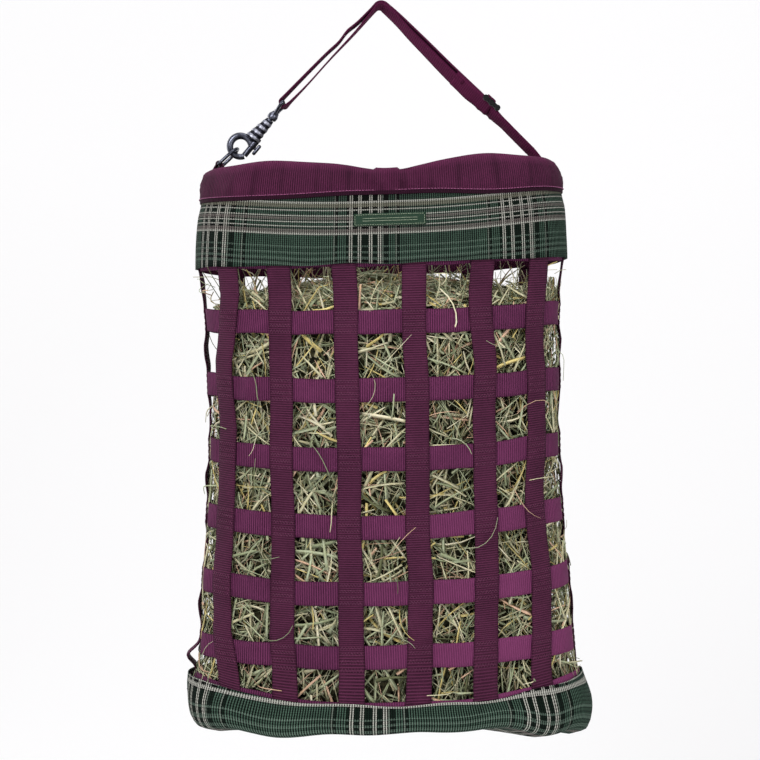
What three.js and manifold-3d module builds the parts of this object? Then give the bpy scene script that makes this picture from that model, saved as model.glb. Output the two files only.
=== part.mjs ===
// Slow-feed hay bag: a net of sewn webbing with a mesh collar and base, hung from an adjustable strap handle
// that clips to a D-ring with a swivel bolt snap. Millimetres, +Z up, front face towards -Y.
// The origin is the hang point, where a stall hook bears under the crest of the handle.
import * as THREE from "three";
import { mergeVertices } from "three/addons/utils/BufferGeometryUtils.js";
import Module from "manifold-3d";

const wasm = await Module();
wasm.setup();

// ---------------------------------------------------------------- driving dimensions
const WEB = 25.4; // width of all the net and handle webbing, one inch
const WEB_T = 1.6; // its thickness
const MESH_T = 1.4; // thickness of the coated plaid mesh of the collar and base
const AIR = 0.4; // gap kept between pieces that touch on the real bag
const BAG_X = 6; // the bag's middle hangs this far right of the hang point
const STRAPS = 14; // upright straps round the net
const BANDS = 6; // level bands round the net
const BAND_PITCH = 70;
const FIRST_BAND_Z = -338;
const SQUARENESS = 2.3; // exponent of the bag's superellipse section
const RIM_TOP = -172; // crest of the mouth binding
const BINDING_BOTTOM = -214;
const COLLAR_BOTTOM = -280;
const BASE_RIM = -724;
const TAPE_SHOWS = 3; // how far the net's end tapes show past the mesh panels
const SEAM_LAP = 20; // how far straps run on under the mesh panels

// Half width, half depth and sag of the middle of the front and back, from the mouth down to the bottom.
const GIRTH = [
  { z: -172, width: 185, depth: 84, sag: 4 },
  { z: -214, width: 193, depth: 88, sag: 4 },
  { z: -280, width: 197, depth: 92, sag: 5 },
  { z: -338, width: 191, depth: 94, sag: 8 },
  { z: -478, width: 189, depth: 95, sag: 8 },
  { z: -548, width: 192, depth: 95, sag: 8 },
  { z: -618, width: 198, depth: 95, sag: 8 },
  { z: -688, width: 202, depth: 93, sag: 10 },
  { z: -724, width: 208, depth: 90, sag: 20 },
  { z: -745, width: 215, depth: 90, sag: 16 },
  { z: -757, width: 212, depth: 87, sag: 10 },
  { z: -770, width: 200, depth: 77, sag: 4 },
  { z: -778, width: 182, depth: 62, sag: 0 },
];
const BOTTOM = GIRTH[GIRTH.length - 1].z;
const LABEL = { middle: 5, halfLength: 36.5, low: -241.5, high: -228.5 };

// Where each layer starts, outwards from the inner face of the level bands.
const STRAP_IN = WEB_T + AIR;
const PANEL_IN = STRAP_IN + WEB_T + AIR;
const TRIM_IN = PANEL_IN + MESH_T + AIR;

// Handle. Angles are from upright; lengths run down the adjusting leg from the crest.
const LEG = THREE.MathUtils.degToRad(48.2);
const LOWER_LEG = THREE.MathUtils.degToRad(41);
const BEND = { from: 174, to: 188 }; // where the leg eases from one angle to the other
const HOOK_R = 5; // stall hook the strap bends over
const LAYER = WEB_T + AIR; // from one strap layer to the next
const LEG_TWIST = THREE.MathUtils.degToRad(30); // the adjusting leg turns its inner face to the front
const END_TWIST = THREE.MathUtils.degToRad(16);
const SLIDER_L = 158;
const SLIDER_UP = 25; // how far the slider can move up the leg
const SLIDER_HALF = 11.5;
const RETURN_END = SLIDER_L - SLIDER_UP - SLIDER_HALF - 2; // free end of the inner layer of strap
const STEP_L = 12; // between stations of strap on the legs

// Bolt snap, in its own frame: z up its swivel axis, 0 at the bar in the strap loop; its hook swings to -x.
const EYE = new THREE.Vector3(-104.5, 0, -103.2);
const SNAP_TILT = THREE.MathUtils.degToRad(39.4);
const HOOK_CENTRE = new THREE.Vector2(-6.8, -66.7);
const HOOK_MID_R = 11.5;
const HOOK_WIRE_R = 3.3;
const BOLT_X = 2.9;
const BOLT_R = 2.6;
const BOLT_TIP_Z = -72.1;
const BOLT_TOP_Z = -47;
const BOLT_TRAVEL = 7;
const KNOB_Z = -58.5;
const PLAY = 0.4; // between sliding and turning metal parts
const EYE_WIRE_R = 1.8;

// D-ring: its straight bar lies in the tab, its bow in the snap's hook.
const RING_BAR = new THREE.Vector3(-174.6, 0, -171.3);
const RING_WIRE_R = 1.9;
const RING_HALF = WEB / 2 + 0.4 + RING_WIRE_R;
const RING_PLAY = 2; // between the bow and the inside of the hook

// ---------------------------------------------------------------- materials
const maroon = new THREE.MeshStandardMaterial({ color: 0x5c2244, roughness: 0.8, metalness: 0 });
const plaid = new THREE.MeshStandardMaterial({ color: 0x23402f, roughness: 0.7, metalness: 0 });
const hay = new THREE.MeshStandardMaterial({ color: 0x9c9468, roughness: 0.95, metalness: 0 });
const labelGreen = new THREE.MeshStandardMaterial({ color: 0x1d4a2a, roughness: 0.8, metalness: 0 });
const darkSteel = new THREE.MeshStandardMaterial({ color: 0x33343a, roughness: 0.3, metalness: 0.9 });
const blackPlastic = new THREE.MeshStandardMaterial({ color: 0x17171a, roughness: 0.45, metalness: 0 });

// ---------------------------------------------------------------- solids
// Signed volume of an indexed triangle mesh, to tell which way its faces point.
function volumeOf(points, index) {
  let six = 0;
  for (let i = 0; i < index.length; i += 3) {
    const [a, b, c] = [points[index[i]], points[index[i + 1]], points[index[i + 2]]];
    six += a.dot(new THREE.Vector3().crossVectors(b, c));
  }
  return six / 6;
}

function geometryOf(points, index) {
  if (volumeOf(points, index) < 0) index.reverse();
  const geometry = new THREE.BufferGeometry().setFromPoints(points);
  geometry.setIndex(index);
  geometry.computeVertexNormals();
  return geometry;
}

// A closed skin through rows of points, each row a closed outline. With loop, the last row joins the first;
// otherwise each end row is closed by a fan.
function loft(rows, loop = false) {
  const n = rows[0].length;
  const points = rows.flat();
  const index = [];
  const last = loop ? rows.length : rows.length - 1;
  for (let i = 0; i < last; i++) {
    for (let j = 0; j < n; j++) {
      const [a, b] = [i * n + j, i * n + ((j + 1) % n)];
      const [c, d] = [((i + 1) % rows.length) * n + j, ((i + 1) % rows.length) * n + ((j + 1) % n)];
      index.push(a, b, d, a, d, c);
    }
  }
  if (!loop) {
    for (const [row, turned] of [[0, true], [rows.length - 1, false]]) {
      const middle = rows[row].reduce((sum, p) => sum.add(p), new THREE.Vector3()).divideScalar(n);
      points.push(middle);
      for (let j = 0; j < n; j++) {
        const [a, b] = [row * n + j, row * n + ((j + 1) % n)];
        index.push(points.length - 1, ...(turned ? [b, a] : [a, b]));
      }
    }
  }
  return geometryOf(points, index);
}

// A wire bent along a path. Each section stands across the path; up is never along it.
function wire(path, radius, sides, closed, up = new THREE.Vector3(1, 0, 0)) {
  const rows = path.map((p, i) => {
    const before = path[closed ? (i + path.length - 1) % path.length : Math.max(i - 1, 0)];
    const after = path[closed ? (i + 1) % path.length : Math.min(i + 1, path.length - 1)];
    const along = after.clone().sub(before).normalize();
    const u = up.clone().cross(along).normalize();
    const v = along.clone().cross(u);
    return Array.from({ length: sides }, (_, k) => {
      const angle = ((k + 0.5) / sides) * 2 * Math.PI;
      return p.clone().addScaledVector(u, radius * Math.cos(angle)).addScaledVector(v, radius * Math.sin(angle));
    });
  });
  return loft(rows, closed);
}

// The same shape as a manifold-3d solid, and back.
function toSolid(geometry) {
  const bare = geometry.index ? geometry.toNonIndexed() : geometry.clone();
  for (const name of Object.keys(bare.attributes)) if (name !== "position") bare.deleteAttribute(name);
  const merged = mergeVertices(bare, 1e-4);
  return new wasm.Manifold(
    new wasm.Mesh({
      numProp: 3,
      vertProperties: new Float32Array(merged.attributes.position.array),
      triVerts: new Uint32Array(merged.index.array),
    }),
  );
}

function fromSolid(solid) {
  const mesh = solid.getMesh();
  const geometry = new THREE.BufferGeometry();
  const positions = new Float32Array(mesh.numVert * 3);
  for (let i = 0; i < mesh.numVert; i++) {
    positions.set(mesh.vertProperties.subarray(i * mesh.numProp, i * mesh.numProp + 3), i * 3);
  }
  geometry.setAttribute("position", new THREE.BufferAttribute(positions, 3));
  geometry.setIndex(new THREE.BufferAttribute(mesh.triVerts, 1));
  geometry.computeVertexNormals();
  return geometry;
}

// A round bar along z from one height to another.
function roundBar(x, low, high, radius, sides = 20) {
  return new THREE.CylinderGeometry(radius, radius, high - low, sides)
    .rotateX(Math.PI / 2)
    .translate(x, 0, (low + high) / 2);
}

function block(x0, x1, halfY, z0, z1) {
  return new THREE.BoxGeometry(x1 - x0, 2 * halfY, z1 - z0).translate((x0 + x1) / 2, 0, (z0 + z1) / 2);
}

// An outline in the xz plane, pushed out to both sides of y = 0.
function plate(shape, halfY, curveSegments = 12) {
  return new THREE.ExtrudeGeometry(shape, { depth: 2 * halfY, bevelEnabled: false, curveSegments })
    .translate(0, 0, -halfY)
    .rotateX(Math.PI / 2);
}

function mesh(name, geometry, material) {
  const made = new THREE.Mesh(geometry, material);
  made.name = name;
  return made;
}

// ---------------------------------------------------------------- the bag's surface
const girthCurve = new THREE.CubicInterpolant(
  GIRTH.map((g) => -g.z),
  GIRTH.flatMap((g) => [g.width, g.depth, g.sag]),
  3,
);

const power = (v) => Math.sign(v) * Math.abs(v) ** (2 / SQUARENESS);

// Angle of the superellipse for each step of equal length round the middle of the net.
const TURN_STEPS = 1440;
const turnTable = (() => {
  const [a, b] = girthCurve.evaluate(-FIRST_BAND_Z);
  const table = [0];
  let [x, y] = [0, -b];
  for (let i = 1; i <= TURN_STEPS; i++) {
    const t = (i / TURN_STEPS) * 2 * Math.PI;
    const [nx, ny] = [a * power(Math.sin(t)), -b * power(Math.cos(t))];
    table.push(table[i - 1] + Math.hypot(nx - x, ny - y));
    [x, y] = [nx, ny];
  }
  return table;
})();
const GIRTH_LENGTH = turnTable[TURN_STEPS];
const STRAP_PITCH = GIRTH_LENGTH / STRAPS;

// Turn angle at a distance round the net from the middle of the front, to the right.
function turnAt(distance) {
  const s = ((distance % GIRTH_LENGTH) + GIRTH_LENGTH) % GIRTH_LENGTH;
  let i = turnTable.findIndex((length) => length > s);
  if (i < 1) i = TURN_STEPS;
  const share = (s - turnTable[i - 1]) / (turnTable[i] - turnTable[i - 1]);
  return ((i - 1 + share) / TURN_STEPS) * 2 * Math.PI;
}

// A point of the bag: distance round it, height, how far out from the bands' inner face, and a share of its
// full width and depth for the domed top of the hay.
function bagPoint(distance, z, out, share = 1) {
  const t = turnAt(distance);
  const [a, b, sag] = girthCurve.evaluate(-z);
  const [x, y] = [a * power(Math.sin(t)), -b * power(Math.cos(t))];
  const nx = (Math.sign(x) * Math.abs(x / a) ** (SQUARENESS - 1)) / a;
  const ny = (Math.sign(y) * Math.abs(y / b) ** (SQUARENESS - 1)) / b;
  const length = Math.hypot(nx, ny);
  return new THREE.Vector3(
    BAG_X + share * (x + (out * nx) / length),
    share * (y + (out * ny) / length),
    z - sag * Math.cos(t) ** 2,
  );
}

// Corners of every panel's outline: both edges and the middle of each strap, and the middle of each window.
const corners = Array.from({ length: STRAPS }, (_, k) => {
  const middle = (k + 0.5) * STRAP_PITCH;
  return [middle - WEB / 2, middle, middle + WEB / 2, middle + STRAP_PITCH / 2];
}).flat();

const outline = (z, out, share = 1) => corners.map((s) => bagPoint(s, z, out, share));

// Heights every layer shares, so that layers keep their gaps.
const bandEdges = Array.from({ length: BANDS }, (_, k) => FIRST_BAND_Z - k * BAND_PITCH)
  .flatMap((z) => [z + WEB / 2, z - WEB / 2]);
const topTape = [COLLAR_BOTTOM - TAPE_SHOWS, COLLAR_BOTTOM - TAPE_SHOWS + WEB];
const lowTape = [BASE_RIM + TAPE_SHOWS - WEB, BASE_RIM + TAPE_SHOWS];
const LEVELS = [
  ...[RIM_TOP - 10, BINDING_BOTTOM, LABEL.high, LABEL.low, COLLAR_BOTTOM, COLLAR_BOTTOM + SEAM_LAP],
  ...[...topTape, ...bandEdges, ...lowTape],
  ...GIRTH.map((g) => g.z).filter((z) => z <= BASE_RIM),
].sort((p, q) => p - q);

const levels = (low, high) => LEVELS.filter((z) => z >= low - 0.01 && z <= high + 0.01);

// A band round the whole bag, between two of the shared heights.
function band(low, high, inner, outer) {
  const heights = levels(low, high);
  const inside = heights.map((z) => outline(z, inner));
  const outside = heights.toReversed().map((z) => outline(z, outer));
  return loft([...inside, ...outside], true);
}

// A patch on the bag over distances round it and between two of the shared heights.
function patch(across, low, high, inner, outer) {
  return loft(
    levels(low, high).map((z) => [
      ...across.map((s) => bagPoint(s, z, inner)),
      ...across.toReversed().map((s) => bagPoint(s, z, outer)),
    ]),
  );
}

function spaced(from, to, count) {
  return Array.from({ length: count + 1 }, (_, i) => from + ((to - from) * i) / count);
}

// ---------------------------------------------------------------- the bag's pieces
function mouthBinding() {
  const [inIn, inOut] = [WEB_T, PANEL_IN - AIR];
  const [outIn, outOut] = [TRIM_IN, TRIM_IN + 2];
  const crown = (inIn + outOut) / 2;
  return loft(
    [
      outline(BINDING_BOTTOM, inIn),
      outline(BINDING_BOTTOM, inOut),
      outline(RIM_TOP - 9, inOut),
      outline(RIM_TOP - 9, outIn),
      outline(BINDING_BOTTOM, outIn),
      outline(BINDING_BOTTOM, outOut),
      outline(RIM_TOP - 6, outOut),
      outline(RIM_TOP - 1, crown + 2),
      outline(RIM_TOP - 1, crown - 2),
      outline(RIM_TOP - 6, inIn),
    ],
    true,
  );
}

function basePanel() {
  const heights = levels(BOTTOM, BASE_RIM);
  const floor = BOTTOM + MESH_T;
  const outside = heights.toReversed().map((z) => outline(z, PANEL_IN + MESH_T));
  const inside = [floor, ...heights.filter((z) => z > floor + 2)].map((z) => outline(z, PANEL_IN));
  return loft([...inside, ...outside]);
}

function hayFill() {
  const inset = -3;
  const body = spaced(-752, -338, 6).map((z) => outline(z, inset, 0.985));
  const dome = [
    [-314, 0.9],
    [-294, 0.68],
    [-284, 0.4],
  ].map(([z, share]) => outline(z, inset, share));
  return loft([outline(-768, inset, 0.9), ...body, ...dome]);
}

// Inner face of the mouth binding at the bag's left or right end, where its curve leaves it nearest.
const END_CURVE = 1.6;
const bindingInside = (side, z) => BAG_X + side * (girthCurve.evaluate(-z)[0] + WEB_T - END_CURVE - AIR);

// Webbing folded round the D-ring's bar and sewn inside the left end of the mouth.
function ringTab() {
  const [low, high] = [BINDING_BOTTOM, RIM_TOP - 8];
  const turnR = RING_WIRE_R + AIR + WEB_T;
  const [x, z] = [RING_BAR.x, RING_BAR.z];
  const shape = new THREE.Shape();
  shape.moveTo(bindingInside(-1, low), low);
  shape.lineTo(bindingInside(-1, high), high);
  shape.absarc(x, z, turnR, Math.PI * 1.02, -Math.PI * 0.25, true);
  shape.lineTo(bindingInside(-1, high) + 2 * WEB_T, high - 4);
  shape.lineTo(bindingInside(-1, low) + 2 * WEB_T, low);
  const hole = new THREE.Path();
  hole.absarc(x, z, RING_WIRE_R + AIR, 0, 2 * Math.PI, false);
  shape.holes.push(hole);
  return plate(shape, WEB / 2, 8);
}

// ---------------------------------------------------------------- the snap and ring's places
const snapToBag = new THREE.Matrix4().makeRotationY(SNAP_TILT).setPosition(EYE);
const hookCentre = new THREE.Vector3(HOOK_CENTRE.x, 0, HOOK_CENTRE.y).applyMatrix4(snapToBag);
const HOOK_INSIDE_R = HOOK_MID_R - HOOK_WIRE_R;
const ringWay = hookCentre.clone().sub(RING_BAR).normalize();
// Where the ring hangs in the hook. The bag swings about the level line through this point.
const ringContact = hookCentre.clone().addScaledVector(ringWay, -(HOOK_INSIDE_R - RING_PLAY - RING_WIRE_R));
const RING_LENGTH = ringContact.distanceTo(RING_BAR);
const HINGE_Z = ringContact.z;

// ---------------------------------------------------------------- the handle strap
const BACK = new THREE.Vector3(0, 1, 0);
const crestMiddle = new THREE.Vector3(0, 0, -HOOK_R);
const OUTER_R = HOOK_R + WEB_T / 2 + LAYER; // middle of the outer layer of strap over the hook
const INNER_R = OUTER_R - LAYER;
const LOOP_R = EYE_WIRE_R + AIR + WEB_T / 2; // middle of the strap round the snap's eye

// A flat strap through stations, each a middle point, the way out of its outer face and the way across it.
function ribbon(stations) {
  return loft(
    stations.map(({ point, normal, across }) =>
      [[-1, -1], [1, -1], [1, 1], [-1, 1]].map(([i, j]) =>
        point.clone().addScaledVector(across, (i * WEB) / 2).addScaledVector(normal, (j * WEB_T) / 2),
      ),
    ),
  );
}

// The same strap with its last section squared off along x = limit.
function squareEnd(stations, limit) {
  const way = stations[stations.length - 1].point.clone().sub(stations[stations.length - 2].point);
  const geometry = ribbon(stations);
  const position = geometry.attributes.position;
  const p = new THREE.Vector3();
  for (let i = (stations.length - 1) * 4; i < position.count; i++) {
    if (i === stations.length * 4) i += 1;
    if (i >= position.count) break;
    p.fromBufferAttribute(position, i).addScaledVector(way, (limit - p.x) / way.x);
    position.setXYZ(i, p.x, p.y, p.z);
  }
  return geometry;
}

// Unit vector at an angle from upright, turning to the right.
const heading = (angle) => new THREE.Vector3(Math.sin(angle), 0, Math.cos(angle));

// Middle of the adjusting leg's outer layer, and the way out of it, at a length from the crest.
function legPath(length) {
  const start = crestMiddle.clone().addScaledVector(heading(Math.PI / 2 - LEG), OUTER_R);
  const turn = (LEG - LOWER_LEG) / (BEND.to - BEND.from);
  const down = (angle, run) => new THREE.Vector3(Math.sin(angle) * run, 0, -Math.cos(angle) * run);
  const arc = THREE.MathUtils.clamp(length, BEND.from, BEND.to) - BEND.from;
  const angle = LEG - turn * arc;
  start.add(down(LEG, Math.min(length, BEND.from)));
  start.x += (Math.cos(angle) - Math.cos(LEG)) / turn;
  start.z -= (Math.sin(LEG) - Math.sin(angle)) / turn;
  start.add(down(LOWER_LEG, Math.max(length - BEND.to, 0)));
  return { point: start, normal: heading(Math.PI / 2 - angle) };
}

const legTwist = (length) =>
  LEG_TWIST * THREE.MathUtils.smoothstep(length, 0, 60) -
  (LEG_TWIST - END_TWIST) * THREE.MathUtils.smoothstep(length, 190, 224);

// Turns a flat station about the strap's run, its inner face to the front.
function twisted({ point, normal }, angle) {
  return {
    point,
    normal: normal.clone().multiplyScalar(Math.cos(angle)).addScaledVector(BACK, Math.sin(angle)),
    across: BACK.clone().multiplyScalar(Math.cos(angle)).addScaledVector(normal, -Math.sin(angle)),
  };
}

function legStation(length, layersIn) {
  const s = twisted(legPath(length), legTwist(length));
  return { ...s, point: s.point.clone().addScaledVector(s.normal, -layersIn * LAYER) };
}

const HINGE_L = (() => {
  const bend = legPath(BEND.to).point;
  return BEND.to + (bend.z - HINGE_Z) / Math.cos(LOWER_LEG);
})();
const HINGE_X = legPath(HINGE_L).point.x;

// Along a circle about a level line, each face outwards.
function arcStations(centre, radius, from, to, count) {
  return spaced(from, to, count).map((angle) => ({
    point: centre.clone().addScaledVector(heading(angle), radius),
    normal: heading(angle),
    across: BACK,
  }));
}

// Angle at which a straight run leaves the crest at one radius and meets the eye's loop at another,
// counted negative when it meets the loop's far side.
function leaving(crestR, loopR) {
  const between = EYE.clone().sub(crestMiddle);
  const lean = Math.asin((crestR - loopR) / between.length());
  return Math.atan2(between.x, between.z) + Math.PI / 2 - lean;
}

const faceAbout = (stations) => stations.map((s) => ({ ...s, normal: s.normal.clone().negate() }));

// From its free end inside the adjusting leg, over the hook, round the snap's eye and back over the hook,
// then down the adjusting leg to the line the bag swings about.
function handleStrap() {
  const outerLeave = leaving(OUTER_R, LOOP_R);
  const innerLeave = leaving(INNER_R, -LOOP_R);
  const legTop = Math.PI / 2 - LEG;
  const steps = Math.floor((HINGE_L - 4) / STEP_L);
  const lengths = spaced(1, steps, steps - 1).map((n) => n * STEP_L);
  const innerLeg = lengths.filter((length) => length < RETURN_END - 2).map((length) => legStation(length, 1));
  const way = [
    legStation(RETURN_END, 1),
    ...innerLeg.toReversed(),
    ...arcStations(crestMiddle, INNER_R, legTop, innerLeave, 6),
    ...faceAbout([
      ...arcStations(EYE, LOOP_R, innerLeave + Math.PI, outerLeave + 2 * Math.PI, 8),
      ...arcStations(crestMiddle, OUTER_R, outerLeave, legTop, 6),
      ...lengths.map((length) => legStation(length, 0)),
      legStation(HINGE_L, 0),
    ]),
  ];
  return squareEnd(way, HINGE_X - 0.3);
}

// The strap's last length, from the line the bag swings about down inside the right end of the mouth.
function handleAnchor() {
  const ease = 1.5;
  const xAt = (z) => {
    const onLeg = HINGE_X + (HINGE_Z - z) * Math.tan(LOWER_LEG);
    const onBinding = bindingInside(1, z) - WEB_T / 2;
    return -ease * Math.log(Math.exp(-onLeg / ease) + Math.exp(-onBinding / ease));
  };
  const stations = spaced(BINDING_BOTTOM + 2, HINGE_Z, 12).map((z) => {
    const along = new THREE.Vector3(xAt(z - 0.5) - xAt(z + 0.5), 0, -1).normalize();
    const flat = { point: new THREE.Vector3(xAt(z), 0, z), normal: new THREE.Vector3(-along.z, 0, along.x) };
    return twisted(flat, END_TWIST * THREE.MathUtils.smoothstep(z, RIM_TOP - 6, HINGE_Z));
  });
  return squareEnd(stations, HINGE_X + 0.3);
}

// ---------------------------------------------------------------- the slider, in its own frame
// x out of the strap's outer face, y across the strap, z up the leg, 0 at the middle of the outer layer.
const BAR_X = -4.4;
const BAR_R = 1.3;

function slider() {
  const arch = new THREE.Shape([
    [3.1, -SLIDER_HALF],
    [3.1, SLIDER_HALF],
    [1.1, SLIDER_HALF],
    [-4.5, 4.2],
    [-5.7, 2.6],
    [-5.7, -2.6],
    [-4.5, -4.2],
    [1.1, -SLIDER_HALF],
  ].map(([x, z]) => new THREE.Vector2(x, z)));
  const [railIn, railOut] = [WEB / 2 + 0.8, WEB / 2 + 3.4];
  const rail = (side) => plate(arch, (railOut - railIn) / 2).translate(0, (side * (railIn + railOut)) / 2, 0);
  const endBar = (side) => block(1.3, 2.9, railOut - 0.7, -1.05, 1.05).translate(0, 0, side * 10);
  const middleBar = new THREE.CylinderGeometry(BAR_R, BAR_R, 2 * railOut - 1.4, 12).translate(BAR_X, 0, 0);
  const parts = [rail(1), rail(-1), endBar(1), endBar(-1), middleBar].map(toSolid);
  return fromSolid(wasm.Manifold.union(parts));
}

// The strap's sewn end, looped round the slider's middle bar, its long end up over the free end of the leg.
function endFold() {
  const wrapR = BAR_R + AIR - 0.1 + WEB_T / 2;
  const at = (x, z, turn) => ({
    point: new THREE.Vector3(x, 0, z),
    normal: new THREE.Vector3(Math.cos(turn), 0, Math.sin(turn)),
    across: BACK,
  });
  const wrap = spaced(0, -Math.PI, 8).map((turn) =>
    at(BAR_X + wrapR * Math.cos(turn), wrapR * Math.sin(turn), turn),
  );
  const front = -2 * LAYER;
  return ribbon([
    at(BAR_X + wrapR, 9, 0),
    ...wrap,
    at(BAR_X - wrapR + 0.4, 3, Math.PI + 0.14),
    at(front - 0.3, 12, Math.PI + 0.2),
    at(front, 17, Math.PI),
    at(front, 50, Math.PI),
  ]);
}

function sliderPlace() {
  const { point, normal, across } = legStation(SLIDER_L, 0);
  return new THREE.Matrix4().makeBasis(normal, across, normal.clone().cross(across)).setPosition(point);
}

// ---------------------------------------------------------------- the bolt snap, in its own frame
// A closed line with its corners eased.
function eased(points, reach) {
  return points.flatMap((p, i) => {
    const before = points[(i + points.length - 1) % points.length];
    const after = points[(i + 1) % points.length];
    const a = p.clone().add(before.clone().sub(p).setLength(reach));
    const b = p.clone().add(after.clone().sub(p).setLength(reach));
    return [a, p.clone().multiplyScalar(0.5).addScaledVector(a, 0.25).addScaledVector(b, 0.25), b];
  });
}

// A turned piece about z, from its profile listed from the low end of the axis to the high end.
function turned(profile, segments = 28) {
  const outline = [...profile, profile[0]].map(([r, z]) => new THREE.Vector2(r, z));
  return new THREE.LatheGeometry(outline, segments).rotateX(Math.PI / 2);
}

const COLLAR = { low: -19, high: -12.6, radius: 4.9 };
const PIN_R = 2;

function snapEye() {
  const half = WEB / 2 + AIR + EYE_WIRE_R;
  const line = [[-half, 0], [half, 0], [half, -5], [4, -15], [-4, -15], [-half, -5]];
  const loop = wire(eased(line.map(([y, z]) => new THREE.Vector3(0, y, z)), 1.9), EYE_WIRE_R, 10, true);
  const collar = roundBar(0, COLLAR.low, COLLAR.high, COLLAR.radius, 28);
  const bore = roundBar(0, COLLAR.low - 3, COLLAR.high + 0.8, PIN_R + PLAY, 20);
  return fromSolid(wasm.Manifold.union([loop, collar].map(toSolid)).subtract(toSolid(bore)));
}

function snapHook() {
  const top = COLLAR.low - PLAY;
  const head = COLLAR.high + PLAY;
  const body = turned([
    [0, head + 1.8],
    [2.4, head + 1.8],
    [3.4, head + 0.9],
    [3.4, head],
    [PIN_R, head],
    [PIN_R, top],
    [4.4, top],
    [4.9, top - 1],
    [4.9, top - 3],
    [4.2, top - 3.6],
    [4.2, top - 5],
    [5.3, top - 5.6],
    [5.5, top - 8],
    [4.7, top - 8.6],
    [4.7, top - 10],
    [6, top - 10.6],
    [6.3, top - 13.4],
    [5.5, top - 14],
    [5.5, top - 15.4],
    [6.8, top - 16],
    [7.4, -45],
    [7.2, -48],
    [5.8, -52.5],
    [0, -55],
  ].toReversed());
  const ring = spaced(50, 318, 22).map((degrees) => {
    const angle = THREE.MathUtils.degToRad(degrees);
    const [x, z] = [HOOK_CENTRE.x + HOOK_MID_R * Math.cos(angle), HOOK_CENTRE.y + HOOK_MID_R * Math.sin(angle)];
    return new THREE.Vector3(x, 0, z);
  });
  const hook = wire(ring, HOOK_WIRE_R, 14, false, BACK);
  const guide = roundBar(BOLT_X, -56, -40, 4.2, 20);
  const bore = roundBar(BOLT_X, BOLT_TIP_Z - PLAY, BOLT_TOP_Z + BOLT_TRAVEL + PLAY, BOLT_R + PLAY, 20);
  const slot = block(BOLT_X, 14, 1.9, KNOB_Z - 2, KNOB_Z + BOLT_TRAVEL + 1.9);
  const solid = wasm.Manifold.union([body, hook, guide].map(toSolid));
  return fromSolid(solid.subtract(toSolid(bore)).subtract(toSolid(slot)));
}

function snapBolt() {
  const pin = roundBar(BOLT_X, BOLT_TIP_Z, BOLT_TOP_Z, BOLT_R, 20);
  const stem = new THREE.CylinderGeometry(1.4, 1.4, 6, 12).rotateZ(Math.PI / 2);
  const knob = turned([[0, 0], [3.9, 0], [4.3, 0.7], [4.3, 1.8], [3.2, 3], [0, 3.3]], 20).rotateY(Math.PI / 2);
  const parts = [pin, stem.translate(BOLT_X + 3, 0, KNOB_Z), knob.translate(7.8, 0, KNOB_Z)];
  return fromSolid(wasm.Manifold.union(parts.map(toSolid)));
}

// A D of wire: straight bar in the tab, bow in the hook.
function dRing() {
  const reach = RING_LENGTH - RING_HALF;
  const bow = spaced(0, Math.PI, 14).map((t) => [RING_HALF * Math.cos(t), reach + RING_HALF * Math.sin(t)]);
  const line = [[-RING_HALF, 1.6], [-RING_HALF + 0.6, 0.4], [-RING_HALF + 2, 0], [RING_HALF - 2, 0]];
  const rest = [[RING_HALF - 0.6, 0.4], [RING_HALF, 1.6]];
  const path = [...line, ...rest, ...bow].map(([y, along]) =>
    RING_BAR.clone().addScaledVector(ringWay, along).add(new THREE.Vector3(0, y, 0)),
  );
  return wire(path, RING_WIRE_R, 10, true, new THREE.Vector3().crossVectors(ringWay, BACK));
}

// ---------------------------------------------------------------- the whole bag
const bag = new THREE.Group();
bag.name = "hay_net";
const add = (name, geometry, material) => bag.add(mesh(name, geometry, material));

add("hem_binding", mouthBinding(), maroon);
add("collar_panel", band(COLLAR_BOTTOM, RIM_TOP - 10, PANEL_IN, PANEL_IN + MESH_T), plaid);
add("collar_label", patch(
  spaced(LABEL.middle - LABEL.halfLength, LABEL.middle + LABEL.halfLength, 8),
  LABEL.low,
  LABEL.high,
  TRIM_IN,
  TRIM_IN + 0.9,
), labelGreen);
add("net_top_tape", band(...topTape, 0, WEB_T), maroon);
for (let k = 0; k < BANDS; k++) {
  add(`row_strap_${k + 1}`, band(bandEdges[2 * k + 1], bandEdges[2 * k], 0, WEB_T), maroon);
}
for (let k = 0; k < STRAPS; k++) {
  const middle = (k + 0.5) * STRAP_PITCH;
  const [low, high] = [BASE_RIM - 21, COLLAR_BOTTOM + SEAM_LAP];
  const across = [middle - WEB / 2, middle, middle + WEB / 2];
  const strap = patch(across, low, high, STRAP_IN, STRAP_IN + WEB_T);
  add(`column_strap_${String(k + 1).padStart(2, "0")}`, strap, maroon);
}
add("net_bottom_tape", band(...lowTape, 0, WEB_T), maroon);
add("base_panel", basePanel(), plaid);
add("hay_fill", hayFill(), hay);
add("ring_tab", ringTab(), maroon);
add("handle_anchor", handleAnchor(), maroon);
add("handle_strap", handleStrap(), maroon);
add("strap_slider", slider().applyMatrix4(sliderPlace()), blackPlastic);
add("strap_end_fold", endFold().applyMatrix4(sliderPlace()), maroon);
add("snap_eye", snapEye().applyMatrix4(snapToBag), darkSteel);
add("snap_hook", snapHook().applyMatrix4(snapToBag), darkSteel);
add("snap_bolt", snapBolt().applyMatrix4(snapToBag), darkSteel);
add("d_ring", dRing(), darkSteel);

export default bag;
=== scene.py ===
"""A slow-feed hay bag, full of hay and hanging by its strap handle: the looks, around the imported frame."""

import math

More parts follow.
